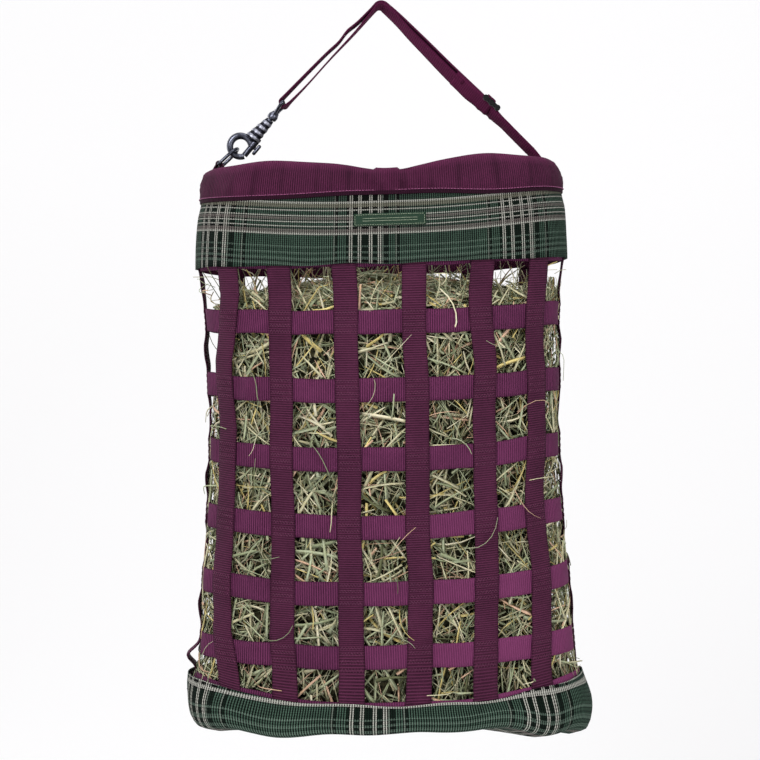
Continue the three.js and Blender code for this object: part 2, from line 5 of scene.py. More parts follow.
import bmesh
import bpy
import numpy as np
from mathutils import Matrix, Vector


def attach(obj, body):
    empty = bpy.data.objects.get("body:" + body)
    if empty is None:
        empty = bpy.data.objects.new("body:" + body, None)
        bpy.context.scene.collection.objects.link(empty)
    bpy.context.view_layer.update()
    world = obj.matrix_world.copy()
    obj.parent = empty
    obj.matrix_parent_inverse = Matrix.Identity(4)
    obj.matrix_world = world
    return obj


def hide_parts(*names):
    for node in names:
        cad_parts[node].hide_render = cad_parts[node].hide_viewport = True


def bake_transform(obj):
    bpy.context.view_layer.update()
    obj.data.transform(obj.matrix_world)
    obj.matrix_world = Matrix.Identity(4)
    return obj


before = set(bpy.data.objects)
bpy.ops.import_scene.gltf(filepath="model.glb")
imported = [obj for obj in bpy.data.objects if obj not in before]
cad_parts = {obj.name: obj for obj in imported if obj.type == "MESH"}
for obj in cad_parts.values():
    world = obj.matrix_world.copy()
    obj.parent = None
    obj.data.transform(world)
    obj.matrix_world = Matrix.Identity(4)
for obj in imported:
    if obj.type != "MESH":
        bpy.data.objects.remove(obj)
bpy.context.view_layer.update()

# ---- the bag's sizes, in millimetres
MM = 0.001
WEB = 25.4  # width of the webbing
WEB_T = 1.6
MESH_T = 1.1  # coated mesh of the collar and base
AIR = 0.4
STRAPS = 14
BANDS = 6
BAND_PITCH = 70.0
FIRST_BAND_Z = -338.0
SQUARENESS = 2.3
RIM_TOP = -172.0
BINDING_BOTTOM = -214.0
COLLAR_BOTTOM = -280.0
BASE_RIM = -724.0
BOTTOM = -780.0
STRAP_IN = WEB_T + AIR
PANEL_IN = STRAP_IN + WEB_T + AIR
TRIM_IN = PANEL_IN + MESH_T + AIR
EYE = np.array([-104.5, 0, -103.2])  # of the snap
SNAP_TILT = math.radians(39.4)
RIDGE, RIDGE_AT = 7.0, -50.0  # from crest to crest of the snap's body, and the height of one

# Half width, half depth and sag of the middle at each height.
GIRTH = np.array(
    [
        (-780, 192, 62, 0),
        (-776, 206, 76, 3),
        (-768, 213, 86, 9),
        (-757, 216, 89, 15),
        (-745, 216, 90, 21),
        (-724, 208, 90, 24),
        (-700, 203, 92, 14),
        (-688, 202, 93, 9),
        (-660, 200, 94, 11),
        (-618, 198, 95, 12.5),
        (-548, 192, 95, 13),
        (-478, 189, 95, 12),
        (-408, 190, 95, 9.5),
        (-338, 191, 94, 8),
        (-280, 197, 92, 5),
        (-214, 193, 88, 4),
        (-172, 185, 84, 4),
    ],
    float,
)
# The hung bag leans up to its right, its middle swings right on the way down, and its cloth turns a little.
LEAN = np.array([(-778, 0), (-735, 0), (-690, 0.018), (-340, 0.019), (-280, 0.03), (-172, 0.034)])
MIDDLE = np.array([(-780, 9.5), (-724, 9), (-560, 6.5), (-400, 5), (-280, 2.5), (-172, 2.5)])
DRIFT = np.array([(-778, 5), (-700, 5), (-620, 3), (-500, -1), (-400, 0), (-172, 0)], float)
# Sideways drift of the six front straps, left to right, at each height.
STRAP_DRIFT = np.array(
    [
        (-725, 8, -2, -5, -10, -11, -15),
        (-666, -9, -9, -6, -4, -4, -8),
        (-596, -9, -6, -4, 0, 2, -4),
        (-525, -9, -6, -3, 0, 6, -3),
        (-452, -7, -9, -4, 2, 6, 3),
        (-381, -12, -9, -4, 1, 7, -1),
        (-310, 4, -4, -5, -1, 2, 0),
        (-260, 4, -4, -5, -1, 2, 0),
    ],
    float,
)

rng = np.random.default_rng(7)


def hump(v, at, wide):
    """A smooth hump of height 1."""
    return np.exp(-(((v - at) / wide) ** 2))


def unit(v):
    return v / np.linalg.norm(v, axis=-1, keepdims=True)


# ---- the bag's surface
def smooth_through(z, column):
    """GIRTH's column at heights z, as a smooth curve."""
    zs, values = GIRTH[:, 0], GIRTH[:, column]
    slopes = np.gradient(values, zs)
    z = np.clip(z, zs[0], zs[-1])
    i = np.clip(np.searchsorted(zs, z) - 1, 0, len(zs) - 2)
    h = zs[i + 1] - zs[i]
    t = (z - zs[i]) / h
    return (
        values[i] * (1 + 2 * t) * (1 - t) ** 2
        + slopes[i] * h * t * (1 - t) ** 2
        + values[i + 1] * t**2 * (3 - 2 * t)
        + slopes[i + 1] * h * t**2 * (t - 1)
    )


def signed_power(v, p):
    return np.sign(v) * np.abs(v) ** p


def girth_table(steps=2880):
    """Length round the net at each turn of the superellipse."""
    a, b = (float(smooth_through(np.array(FIRST_BAND_Z), c)) for c in (1, 2))
    turn = np.linspace(0, math.tau, steps + 1)
    x = a * signed_power(np.sin(turn), 2 / SQUARENESS)
    y = -b * signed_power(np.cos(turn), 2 / SQUARENESS)
    return turn, np.concatenate([[0], np.cumsum(np.hypot(np.diff(x), np.diff(y)))])


TURNS, LENGTHS = girth_table()
ROUND = LENGTHS[-1]
PITCH = ROUND / STRAPS


def middle_at(z):
    return np.interp(z, MIDDLE[:, 0], MIDDLE[:, 1])


def strap_middle(number, z):
    """Distance round the bag of an upright strap's middle at heights z."""
    place = (number + 0.5) * PITCH
    place = place - ROUND if place > ROUND / 2 else place
    front = number if number < 3 else number - STRAPS
    if -3 <= front < 3:
        return place + np.interp(z, STRAP_DRIFT[:, 0], STRAP_DRIFT[:, front + 4])
    return place + 2.5 * np.sin(z / 37 + 2.1 * number)


def bag_point(s, z, out, share=1.0, level=None):
    """Points of the bag at distances s round it from the middle of the front, heights z and offsets out.
    A band hangs as its middle does, at level."""
    s, z, out = np.broadcast_arrays(np.asarray(s, float), z, out)
    s = s + np.interp(z, DRIFT[:, 0], DRIFT[:, 1]) * np.cos(math.tau * s / ROUND)
    turn = np.interp(np.mod(s, ROUND), LENGTHS, TURNS)
    a, b = smooth_through(z, 1), smooth_through(z, 2)
    sag = smooth_through(z if level is None else np.full(z.shape, level), 3)
    x = a * signed_power(np.sin(turn), 2 / SQUARENESS)
    y = -b * signed_power(np.cos(turn), 2 / SQUARENESS)
    nx = signed_power(x / a, SQUARENESS - 1) / a
    ny = signed_power(y / b, SQUARENESS - 1) / b
    n = np.hypot(nx, ny)
    up = z - sag * np.cos(turn) ** 2 + np.interp(z, LEAN[:, 0], LEAN[:, 1]) * x
    return np.stack([middle_at(z) + share * (x + out * nx / n), share * (y + out * ny / n), up], axis=-1)


def round_bag(steps):
    """Distances all round the bag, from the middle of its back."""
    return np.linspace(-ROUND / 2, ROUND / 2, STRAPS * steps, endpoint=False)[:, None]


def at_ends(s, power):
    """1 at the bag's left and right ends and 0 between them, the more sharply the higher the power."""
    return np.abs(np.sin(math.tau * s / ROUND)) ** power


def place_of(s):
    """Distance from the middle of the front, negative to the left."""
    return (s + ROUND / 2) % ROUND - ROUND / 2


def cloth_uv(s, z, bow, eased):
    """Where the plaid's pattern is at a place: towards the ends of the bag its level lines ride up by bow
    and its upright ones spread by eased, left and right."""
    place = place_of(s)
    end = np.minimum(np.abs(place), ROUND / 2 - np.abs(place)) / (ROUND / 4)
    t = np.clip((end - 0.5) / 0.5, 0, 1)
    spread = np.where(place < 0, *eased) * t**2 * (1 - t) * 6.75
    front = np.where(np.abs(place) < ROUND / 4, -1, 1)
    up = bow * np.sin(math.pi / 2 * end) ** 3
    return s + np.sign(place) * front * spread, z - up


def wave(u, v, seed, scale, count=5):
    """Smooth seeded noise of about unit size over two lengths, repeating round the bag in u."""
    draw = np.random.default_rng(seed)
    total = np.zeros(np.broadcast(u, v).shape)
    for _ in range(count):
        turns = round(draw.uniform(0.4, 1.6) * ROUND / scale)
        along = draw.uniform(-1.4, 1.4) * math.tau / scale
        total = total + np.sin(math.tau * turns * u / ROUND + along * v + draw.uniform(0, 6.28))
    return total / math.sqrt(count)


# ---- mesh making
def make_piece(name, points, faces, material, uv=None, tint=None, smooth=True):
    """One object from points in millimetres. uv holds a pair for each corner of each face."""
    mesh = bpy.data.meshes.new(name)
    points = np.asarray(points, float).reshape(-1, 3) * MM
    faces = [np.asarray(f).reshape(-1, n) for f, n in faces]
    corners = np.concatenate([f.ravel() for f in faces])
    sizes = np.concatenate([np.full(len(f), f.shape[1]) for f in faces])
    mesh.vertices.add(len(points))
    mesh.vertices.foreach_set("co", points.ravel())
    mesh.loops.add(len(corners))
    mesh.loops.foreach_set("vertex_index", corners)
    mesh.polygons.add(len(sizes))
    mesh.polygons.foreach_set("loop_start", np.concatenate([[0], np.cumsum(sizes)[:-1]]))
    mesh.polygons.foreach_set("loop_total", sizes)
    mesh.update(calc_edges=True)
    mesh.validate()
    if uv is not None:
        layer = mesh.uv_layers.new(name="UVMap")
        layer.data.foreach_set("uv", np.asarray(uv, float).ravel())
    if tint is not None:
        colours = mesh.color_attributes.new("tint", "FLOAT_COLOR", "POINT")
        colours.data.foreach_set("color", np.c_[tint, np.ones(len(tint))].ravel())
    mesh.polygons.foreach_set("use_smooth", np.full(len(mesh.polygons), smooth))
    mesh.materials.append(material)
    piece = bpy.data.objects.new(name, mesh)
    bpy.context.scene.collection.objects.link(piece)
    return piece


def skin(name, rows, material, along=0.0, across=0.0, ring=0.0):
    """A closed skin: rows[i, j] are sections of closed outlines. along and across are the uv lengths of
    each point, for a material with a pattern. With ring, the last section joins the first, that far on in
    along."""
    rows = np.asarray(rows, float)
    n, m = rows.shape[:2]
    along, across = (np.broadcast_to(v, (n, m)) for v in (along, across))
    last = n if ring else n - 1
    i, j = np.meshgrid(np.arange(last), np.arange(m), indexing="ij")
    nexti, nextj = (i + 1) % n, (j + 1) % m
    quads = np.stack([i * m + j, i * m + nextj, nexti * m + nextj, nexti * m + j], axis=-1)
    step = np.where(i + 1 >= n, ring, 0.0)
    onward = (along[nexti, nextj] + step, along[nexti, j] + step)
    us = np.stack([along[i, j], along[i, nextj], *onward], axis=-1)
    vs = np.stack([across[i, j], across[i, nextj], across[nexti, nextj], across[nexti, j]], axis=-1)
    uv = [np.stack([us, vs], axis=-1).reshape(-1, 2)]
    faces = [(quads, 4)]
    if not ring:
        ends = np.stack([np.arange(m)[::-1], np.arange(m) + (n - 1) * m])
        faces.append((ends, m))
        for end, order in ((0, slice(None, None, -1)), (n - 1, slice(None))):
            uv.append(np.c_[along[end, order], across[end, order]])
    piece = make_piece(name, rows, faces, material, np.concatenate(uv) * MM)
    face_out(piece)
    return piece


def face_out(piece):
    """Turns the faces of a closed piece outwards."""
    mesh = piece.data
    co = np.empty(len(mesh.vertices) * 3)
    mesh.vertices.foreach_get("co", co)
    co = co.reshape(-1, 3)
    mesh.calc_loop_triangles()
    tri = np.empty(len(mesh.loop_triangles) * 3, int)
    mesh.loop_triangles.foreach_get("vertices", tri)
    a, b, c = (co[tri.reshape(-1, 3)[:, k]] for k in range(3))
    if np.einsum("ij,ij->i", a, np.cross(b, c)).sum() < 0:
        mesh.flip_normals()
        mesh.update()


# Outline of webbing's section: place across (-0.5 to 0.5) and through it (0 to 1), edges eased.
SECTION = np.array(
    [(-0.484, 1), (-0.3, 1), (0, 1), (0.3, 1), (0.484, 1)]
    + [(0.5, 0.5), (0.484, 0), (0, 0), (-0.484, 0), (-0.5, 0.5)]
)


def tubes(name, paths, widths, material, sides=3, thickness=1.0, up=(0.0, -1.0, 0.0), tint=None):
    """Many short closed stalks or threads as one piece. paths is (count, steps, 3), widths (count, steps)."""
    paths = np.asarray(paths, float)
    n, k = paths.shape[:2]
    way = np.gradient(paths, axis=1)
    way /= np.linalg.norm(way, axis=2, keepdims=True) + 1e-9
    side = np.cross(np.broadcast_to(np.asarray(up, float), paths.shape), way)
    side /= np.linalg.norm(side, axis=2, keepdims=True) + 1e-9
    over = np.cross(way, side)
    angle = (np.arange(sides) + 0.5) / sides * math.tau
    half = np.asarray(widths, float)[:, :, None, None] / 2
    rim = side[:, :, None] * np.cos(angle)[None, None, :, None]
    rim = rim + over[:, :, None] * (np.sin(angle) * thickness)[None, None, :, None]
    points = paths[:, :, None] + rim * half
    base = (np.arange(n) * k * sides)[:, None, None]
    i, j = np.meshgrid(np.arange(k - 1), np.arange(sides), indexing="ij")
    nextj = (j + 1) % sides
    low, high = i * sides, (i + 1) * sides
    quads = np.stack([low + j, low + nextj, high + nextj, high + j], axis=-1).reshape(1, -1, 4) + base
    ends = np.stack([np.arange(sides)[::-1], np.arange(sides) + (k - 1) * sides])[None] + base
    colours = None if tint is None else np.repeat(tint, k * sides, axis=0)
    piece = make_piece(name, points, [(quads, 4), (ends, sides)], material, tint=colours)
    face_out(piece)
    return piece


# ---- materials
def srgb(r, g, b):
    """Linear colour of an 8-bit one."""
    return [((c / 255 + 0.055) / 1.055) ** 2.4 if c > 10 else c / 255 / 12.92 for c in (r, g, b)]


class Surface:
    """A node material, with short names for the nodes used here."""

    def __init__(self, name, roughness=0.7, metallic=0.0, specular=0.4):
        self.material = bpy.data.materials.new(name)
        self.material.use_nodes = True
        self.tree = self.material.node_tree
        self.shader = self.tree.nodes["Principled BSDF"]
        self.shader.inputs["Roughness"].default_value = roughness
        self.shader.inputs["Metallic"].default_value = metallic
        self.shader.inputs["Specular IOR Level"].default_value = specular

    def put(self, socket, value):
        if isinstance(value, bpy.types.NodeSocket):
            self.tree.links.new(value, socket)
        elif isinstance(value, (list, tuple)) and len(value) == 3 and socket.type == "RGBA":
            socket.default_value = (*value, 1)
        else:
            socket.default_value = value

    def node(self, kind, **settings):
        made = self.tree.nodes.new("ShaderNode" + kind)
        for key, value in settings.items():
            setattr(made, key, value)
        return made

    def math(self, operation, a, b=None, c=None):
        made = self.node("Math", operation=operation)
        for socket, value in zip(made.inputs, (a, b, c)):
            if value is not None:
                self.put(socket, value)
        return made.outputs[0]

    def times(self, *values):
        """The product of two or more values."""
        product = values[0]
        for value in values[1:]:
            product = self.math("MULTIPLY", product, value)
        return product

    def mix(self, share, a, b, blend="MIX"):
        made = self.node("Mix", data_type="RGBA", blend_type=blend)
        self.put(made.inputs["Factor"], share)
        self.put(made.inputs[6], a)
        self.put(made.inputs[7], b)
        return made.outputs[2]

    def uv(self):
        """Lengths along and across the piece, in millimetres."""
        split = self.node("SeparateXYZ")
        self.put(split.inputs[0], self.node("UVMap", uv_map="UVMap").outputs[0])
        return (self.times(split.outputs[0], 1000), self.times(split.outputs[1], 1000))

    def uv_stretched(self, up):
        """Lengths along and across the piece, the second one shrunk."""
        scaled = self.node("VectorMath", operation="MULTIPLY")
        self.put(scaled.inputs[0], self.node("UVMap", uv_map="UVMap").outputs[0])
        scaled.inputs[1].default_value = (1, up, 1)
        return scaled.outputs[0]

    def place(self):
        return self.node("TexCoord").outputs["Object"]

    def noise(self, scale, detail, vector=None):
        made = self.node("TexNoise")
        self.put(made.inputs["Scale"], scale)
        self.put(made.inputs["Detail"], detail)
        self.put(made.inputs["Vector"], self.place() if vector is None else vector)
        return made.outputs["Fac"]

    def spread(self, value, low, high, to_low=0.0, to_high=1.0):
        """to_low where value is low, to_high where it is high, and held beyond them."""
        made = self.node("MapRange")
        for socket, v in zip(made.inputs, (value, low, high, to_low, to_high)):
            self.put(socket, v)
        return made.outputs[0]

    def ridge(self, length, pitch, offset=0.0):
        """0 to 1 and back over each pitch of a length."""
        turn = self.math("MULTIPLY_ADD", length, math.tau / pitch, offset)
        return self.math("MULTIPLY_ADD", self.math("SINE", turn), 0.5, 0.5)

    def steps(self, value, stops):
        """A colour for each stretch of value from 0 to 1, each stop a start and a colour."""
        made = self.node("ValToRGB")
        made.color_ramp.interpolation = "CONSTANT"
        ramp = made.color_ramp.elements
        while len(ramp) < len(stops):
            ramp.new(0.5)
        for element, (start, _) in zip(ramp, stops):
            element.position = start
        for element, (_, colour) in zip(ramp, stops):
            element.color = (*colour, 1)
        self.put(made.inputs[0], value)
        return made.outputs[0]

    def bump(self, height, distance, strength=1.0):
        made = self.node("Bump")
        for socket, value in (("Distance", distance), ("Strength", strength), ("Height", height)):
            self.put(made.inputs[socket], value)
        self.put(self.shader.inputs["Normal"], made.outputs[0])

    def colour(self, value):
        self.put(self.shader.inputs["Base Color"], value)

    def rough(self, value):
        self.put(self.shader.inputs["Roughness"], value)


def webbing_material(
    name, dark, light, pitch=2.4, lip=None, shadow=None, shine=0.1, relief=1.0, painted_fill_light=False
):
    """Ribbed nylon webbing. Ribs lie across it. Below lip, the binding's turned edge is in its own shade,
    painted darker, with painted fold shade in upright streaks and a painted highlight towards its crest;
    a strap with a shadow is painted darker in the crease by its edge; with the last flag, it is painted paler
    low on the right of the bag: a painted pool of fill light."""
    m = Surface(name, roughness=0.85, specular=shine)
    along, across = m.uv()
    rib = m.ridge(along, pitch)
    crest = m.spread(rib, 0.4, 1.0)
    yarn = m.ridge(across, 1.1)
    worn = m.spread(m.noise(38, 3), 0.35, 0.7)
    fibre = m.noise(1400, 2)
    edge = m.spread(m.math("ABSOLUTE", across), WEB / 2 - 1.6, WEB / 2)
    base = m.mix(crest, dark, light)
    base = m.mix(m.times(worn, 0.25), base, light)
    base = m.mix(m.spread(m.noise(17, 2), 0.45, 0.7, 0, 0.35), base, dark)
    base = m.mix(m.spread(fibre, 0.5, 0.75, 0, 0.35), base, [c * 2.0 for c in light])
    if lip is None:
        base = m.mix(m.times(edge, 0.5), base, [c * 0.5 for c in dark])
    else:
        low = m.math("LESS_THAN", across, lip)
        base = m.mix(m.times(low, 0.8), base, [c * 0.5 for c in dark])
        # Painted shade: darker upright streaks, as of folds in the binding.
        base = m.mix(m.spread(m.noise(70, 2, m.uv_stretched(0.12)), 0.5, 0.68, 0, 0.6), base, dark)
        # Painted highlight: paler towards the binding's crest.
        base = m.mix(m.spread(across, 14, 25, 0, 0.5), base, [c * 1.3 for c in light])
    # Painted light: paler low on the right of the bag, a painted pool of fill light.
    if painted_fill_light:
        split = m.node("SeparateXYZ")
        m.put(split.inputs[0], m.place())
        low, right = m.spread(split.outputs[2], -0.42, -0.66), m.spread(split.outputs[0], -0.05, 0.12)
        base = m.mix(m.times(low, right, 0.46), base, [c * 1.6 for c in light])
    if shadow:
        crease = m.math("COMPARE", across, shadow[0], 2.3)
        after, before = m.math("GREATER_THAN", along, shadow[1]), m.math("LESS_THAN", along, shadow[2])
        base = m.mix(m.times(crease, m.times(after, before), 0.9), base, srgb(20, 8, 14))
    m.colour(base)
    m.rough(m.spread(fibre, 0.3, 0.7, 0.7, 0.9))
    height = m.math("ADD", m.times(rib, 1.0), m.times(yarn, 0.2))
    m.bump(m.math("ADD", height, m.times(fibre, 0.4)), 0.0006, relief)
    return m.material


# Level yarns of the plaid, and how far each hides the upright ones.
GREEN = (srgb(22, 42, 31), 0.3)
LINE = (srgb(92, 110, 98), 0.5)
PALE = (srgb(160, 159, 151), 0.85)
TAUPE = (srgb(112, 104, 100), 0.7)
KHAKI = (srgb(112, 110, 97), 0.8)
DARK = (srgb(11, 11, 10), 0.4)
# Upright yarns.
SAGE, CREAM, GREY, BLACK = srgb(76, 98, 85), srgb(196, 194, 184), srgb(120, 128, 118), srgb(6, 8, 7)
UPRIGHTS = [(0, CREAM), (2, BLACK), (4, CREAM), (6, BLACK), (9, CREAM), (11, BLACK), (13, CREAM)]
UPRIGHTS += [(15, GREY), (16, BLACK), (18, SAGE), (21, GREY), (22, BLACK), (23, SAGE), (63, GREY)]
UPRIGHTS += [(64, BLACK), (65, SAGE), (69, BLACK)]
REPEAT = 70  # yarns in a repeat of the pattern


def plaid_material(name, bands, top, depth, yarn, start, bright=1.0):
    """Coated mesh in plaid. Its level yarns go by the distance below top, the upright ones by their number
    from start. Between the yarns it is painted dark, and near-black in the holes: painted shade of the inside
    seen through the weave."""
    m = Surface(name, roughness=0.8, specular=0.05)

    def bright_steps(value, stops):
        return m.steps(value, [(place, [c * bright for c in colour]) for place, colour in stops])

    along, up = m.uv()
    down = m.math("DIVIDE", m.math("SUBTRACT", top, up), depth)
    level = bright_steps(down, [(place / depth, colour) for place, (colour, _) in bands])
    cover = m.steps(down, [(place / depth, (hide,) * 3) for place, (_, hide) in bands])
    number = m.math("DIVIDE", m.math("ADD", along, yarn * (0.5 + REPEAT * 8) - start), yarn * REPEAT)
    numbers = [(place / REPEAT, colour) for place, colour in UPRIGHTS]
    upright = bright_steps(m.math("FRACT", number), numbers)
    thread = m.spread(m.ridge(along, yarn, math.pi / 2 - math.tau * start / yarn), 0.34, 0.78)
    weft = m.ridge(up, 2.1)
    worn = m.spread(m.noise(60, 2), 0.35, 0.7, 0.72, 1.0)
    shown = m.times(thread, worn, m.spread(weft, 0.1, 0.5, 0.6, 1))
    # Painted shade: dark between the yarns here and below, and near-black in the holes, as the inside is seen
    # through the weave.
    upright = m.mix(shown, srgb(8, 12, 10), upright)
    level = m.mix(m.spread(thread, 0, 1, 0.6, 0), level, srgb(10, 12, 10))
    cloth = m.mix(cover, upright, level)
    hole = m.times(m.spread(thread, 0.5, 0.15), m.spread(weft, 0.6, 0.25))
    m.colour(m.mix(m.times(hole, 0.95), cloth, srgb(4, 5, 5)))
    m.bump(m.math("ADD", thread, weft), 0.0004, 0.8)
    return m.material


def hay_material():
    m = Surface("hay_stalks", roughness=0.7, specular=0.15)
    tint = m.node("VertexColor", layer_name="tint").outputs[0]
    streak = m.noise(260, 3)
    spot = m.noise(55, 2)
    dry = m.mix(1.0, tint, srgb(236, 226, 178), "MULTIPLY")
    base = m.mix(m.spread(streak, 0.35, 0.7, 0, 0.5), tint, dry)
    dull = m.mix(1.0, tint, srgb(150, 150, 120), "MULTIPLY")
    m.colour(m.mix(m.spread(spot, 0.5, 0.75, 0, 0.35), base, dull))
    m.bump(streak, 0.0003, 0.6)
    return m.material


def shaded_hay_material():
    m = Surface("hay_heart", roughness=0.95, specular=0.1)
    # Painted shade: the same hay, painted dark where it lies in shade behind the stalks.
    m.colour(m.mix(m.spread(m.noise(160, 5), 0.4, 0.65), srgb(26, 27, 20), srgb(84, 80, 58)))
    m.bump(m.noise(200, 4), 0.003, 1.0)
    return m.material


def thread_material(name, colour):
    m = Surface(name, roughness=0.55, specular=0.4)
    m.colour(m.mix(m.spread(m.noise(900, 2), 0.35, 0.7), colour, [min(c * 1.5, 1) for c in colour]))
    m.bump(m.noise(1500, 2), 0.0002, 0.7)
    return m.material


def label_material():
    m = Surface("label_weave", roughness=0.65, specular=0.3)
    along, up = m.uv()
    weave = m.times(m.ridge(along, 0.7), m.ridge(up, 0.7))
    m.colour(m.mix(weave, srgb(8, 34, 20), srgb(22, 66, 40)))
    m.bump(weave, 0.0002, 0.8)
    return m.material


def gunmetal_material():
    """Dark metal. Round the snap's body, between two heights on its axis, the ridges carry painted
    highlights: pale on their crests and dark in the grooves.
    """
    m = Surface("gunmetal", metallic=1.0, roughness=0.3, specular=0.5)
    blotch = m.noise(90, 2)
    axis = (math.sin(SNAP_TILT), 0, math.cos(SNAP_TILT))
    lean = m.node("VectorMath", operation="DOT_PRODUCT")
    m.put(lean.inputs[0], m.place())
    lean.inputs[1].default_value = axis
    height = m.math("SUBTRACT", m.times(lean.outputs[1], 1000), float(EYE @ axis))
    on_body = m.times(m.math("GREATER_THAN", height, -53.0), m.math("LESS_THAN", height, -25.5))
    crest = m.spread(m.ridge(height, RIDGE, math.pi / 2 - RIDGE_AT * math.tau / RIDGE), 0.35, 0.8)
    plain = m.mix(m.spread(blotch, 0.35, 0.65), srgb(46, 47, 56), srgb(98, 100, 112))
    # Painted highlights: pale on the ridge crests, dark in the grooves.
    painted_highlight_bands = m.mix(crest, srgb(34, 34, 42), srgb(150, 151, 163))
    m.colour(m.mix(on_body, plain, painted_highlight_bands))
    polish = m.math("ADD", m.spread(blotch, 0, 1, 0.28, 0.4), m.times(on_body, 0.12))
    m.rough(m.spread(polish, 0, 1))
    m.bump(m.noise(300, 2), 0.0002, 0.12)
    return m.material


def plastic_material():
    m = Surface("black_nylon", roughness=0.42, specular=0.12)
    m.colour(m.mix(m.spread(m.noise(90, 3), 0.4, 0.7), srgb(12, 13, 13), srgb(26, 28, 28)))
    m.rough(m.spread(m.noise(240, 3), 0.35, 0.7, 0.3, 0.52))
    m.bump(m.noise(1800, 2), 0.00015, 0.5)
    return m.material


web_outer = webbing_material("plum_webbing_outer", srgb(44, 15, 32), srgb(86, 38, 65))
web_inner = webbing_material("plum_webbing_inner", srgb(52, 18, 40), srgb(107, 49, 86), painted_fill_light=True)
web_wide = webbing_material("plum_webbing_wide", srgb(40, 12, 29), srgb(88, 35, 66), pitch=2.3, lip=-15.0)
web_handle = webbing_material(
    "plum_webbing_handle",
    srgb(72, 26, 52),
    srgb(93, 35, 67),
    shadow=(-9.0, 455, 566),
    shine=0.02,
    relief=0.35,
)
collar_cloth = plaid_material(
    "plaid_collar",
    # From 20 to 34.5 mm below the top the collar is given DARK: painted shadow under the binding's lip.
    [(0, GREEN), (20, DARK), (34.5, PALE), (36.9, KHAKI), (41, DARK), (43.3, PALE), (44.6, GREEN)]
    + [(48.7, PALE), (49.9, DARK), (50.9, TAUPE), (54.1, DARK), (55.1, PALE), (56.3, GREEN), (60.1, PALE)]
    + [(61.3, DARK), (63.5, TAUPE), (67.3, PALE), (69.4, GREEN), (81, LINE), (82.7, GREEN), (87, LINE)]
    + [(89.2, GREEN), (92.5, LINE), (95.4, DARK), (98, LINE), (101, GREEN)],
    top=COLLAR_BOTTOM + 99.6,
    depth=110.0,
    yarn=2.235,
    start=-32.0,
)
base_cloth = plaid_material(
    "plaid_base",
    [(0, GREEN), (4.2, PALE), (5.4, DARK), (8, PALE), (11.6, DARK), (12.6, GREEN), (23.2, LINE)]
    + [(25, GREEN), (28.8, LINE), (31.6, GREEN), (35, LINE), (38, GREEN), (41, LINE), (44, DARK)]
    + [(47, TAUPE), (53, GREEN), (66, PALE), (68, GREEN)],
    top=BASE_RIM + 10,
    depth=118.0,
    yarn=2.4,
    start=-39.8,
    bright=1.25,
)
hay_cloth = hay_material()
hay_in_shade = shaded_hay_material()
stitch_plum = thread_material("plum_thread", srgb(92, 42, 70))
stitch_pale = thread_material("pale_plum_thread", srgb(126, 66, 102))
label_cloth = label_material()
cream_thread = thread_material("cream_thread", srgb(132, 142, 122))
gunmetal = gunmetal_material()
nylon = plastic_material()


def fit(piece, slot, body, *nodes):
    """Gives a piece its body, and stands it in for its nodes. The slot is not used."""
    if nodes:
        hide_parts(*nodes)
    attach(piece, body)
    return piece


# ---- the net
def level_band(name, middle, seed, swell=2.2):
    """A band round the bag. It swells out between the upright straps, pushed by the hay."""
    s = round_bag(12)
    across, through = SECTION[:, 0], SECTION[:, 1]
    straps = np.sort([float(strap_middle(k, np.array(middle))) for k in range(STRAPS)])
    straps = np.concatenate([[straps[-1] - ROUND], straps, [straps[0] + ROUND]])
    at = np.searchsorted(straps, s[:, 0])
    half = (straps[at] - straps[at - 1]) / 2
    window = s - (straps[at] - half)[:, None]
    bulge = np.clip(1 - (window / (half - WEB / 2)[:, None]) ** 2, 0, 1) ** 1.5
    size = 0.7 + 0.5 * np.abs(wave(s, 0, seed, 160))
    z = middle + across * WEB + 0.7 * wave(s, across * 8, seed + 1, 120)
    out = through * WEB_T + swell * bulge * size * (1 - 0.25 * np.abs(2 * across))
    return skin(name, bag_point(s, z, out, level=middle), web_inner, s, across * WEB, ring=ROUND)


def strap_wander(number, z):
    """How far a strap strays to the side."""
    return 0.8 * wave(z * 2, 0, 50 + number, 300)


def strap_stand(number, s, z):
    """How far it stands off."""
    return 0.35 * wave(s, z, 80 + number, 90)


def upright(name, number):
    """An upright strap. It dips in a little between the level bands."""
    z = np.linspace(BASE_RIM - 20, COLLAR_BOTTOM + 19, 150)[:, None]
    across, through = SECTION[:, 0], SECTION[:, 1]
    level = np.mod(z - FIRST_BAND_Z + BAND_PITCH / 2, BAND_PITCH) - BAND_PITCH / 2
    free = np.clip((np.abs(level) - WEB / 2) / 14, 0, 1) ** 0.8
    s = strap_middle(number, z) + across * WEB + strap_wander(number, z)
    out = STRAP_IN + through * WEB_T - 0.7 * free + strap_stand(number, s, z)
    out = np.maximum(out, STRAP_IN - 0.9 + through * WEB_T)
    if number in (3, STRAPS - 4):  # at the ends of the bag they hang slack and twist
        slack = np.sin(z / 23 + 1.7 * number) + 0.5 * np.sin(z / 11 + number)
        out = out + free * (2.2 * slack + 2.0 * across * np.sin(z / 19 + number))
        s = s + free * 3.5 * np.sin(z / 31 + 0.9 * number)
        if number > 3:  # a slack loop just above the base
            out = out + 13 * hump(z, -705, 11)
    return skin(name, bag_point(s, z, out), web_outer, z, across * WEB)


for k in range(BANDS):
    band = level_band(f"level_band_{k + 1}", FIRST_BAND_Z - k * BAND_PITCH, 11 * k + 3)
    fit(band, "webbing", "bag", f"row_strap_{k + 1}")
for k in range(STRAPS):
    fit(upright(f"upright_strap_{k + 1:02d}", k), "webbing", "bag", f"column_strap_{k + 1:02d}")
for name, node, middle, seed in (
    ("top_tape", "net_top_tape", COLLAR_BOTTOM - 3 + WEB / 2, 301),
    ("low_tape", "net_bottom_tape", BASE_RIM + 3 - WEB / 2, 302),
):
    fit(level_band(name, middle, seed, swell=0.0), "webbing", "bag", node)


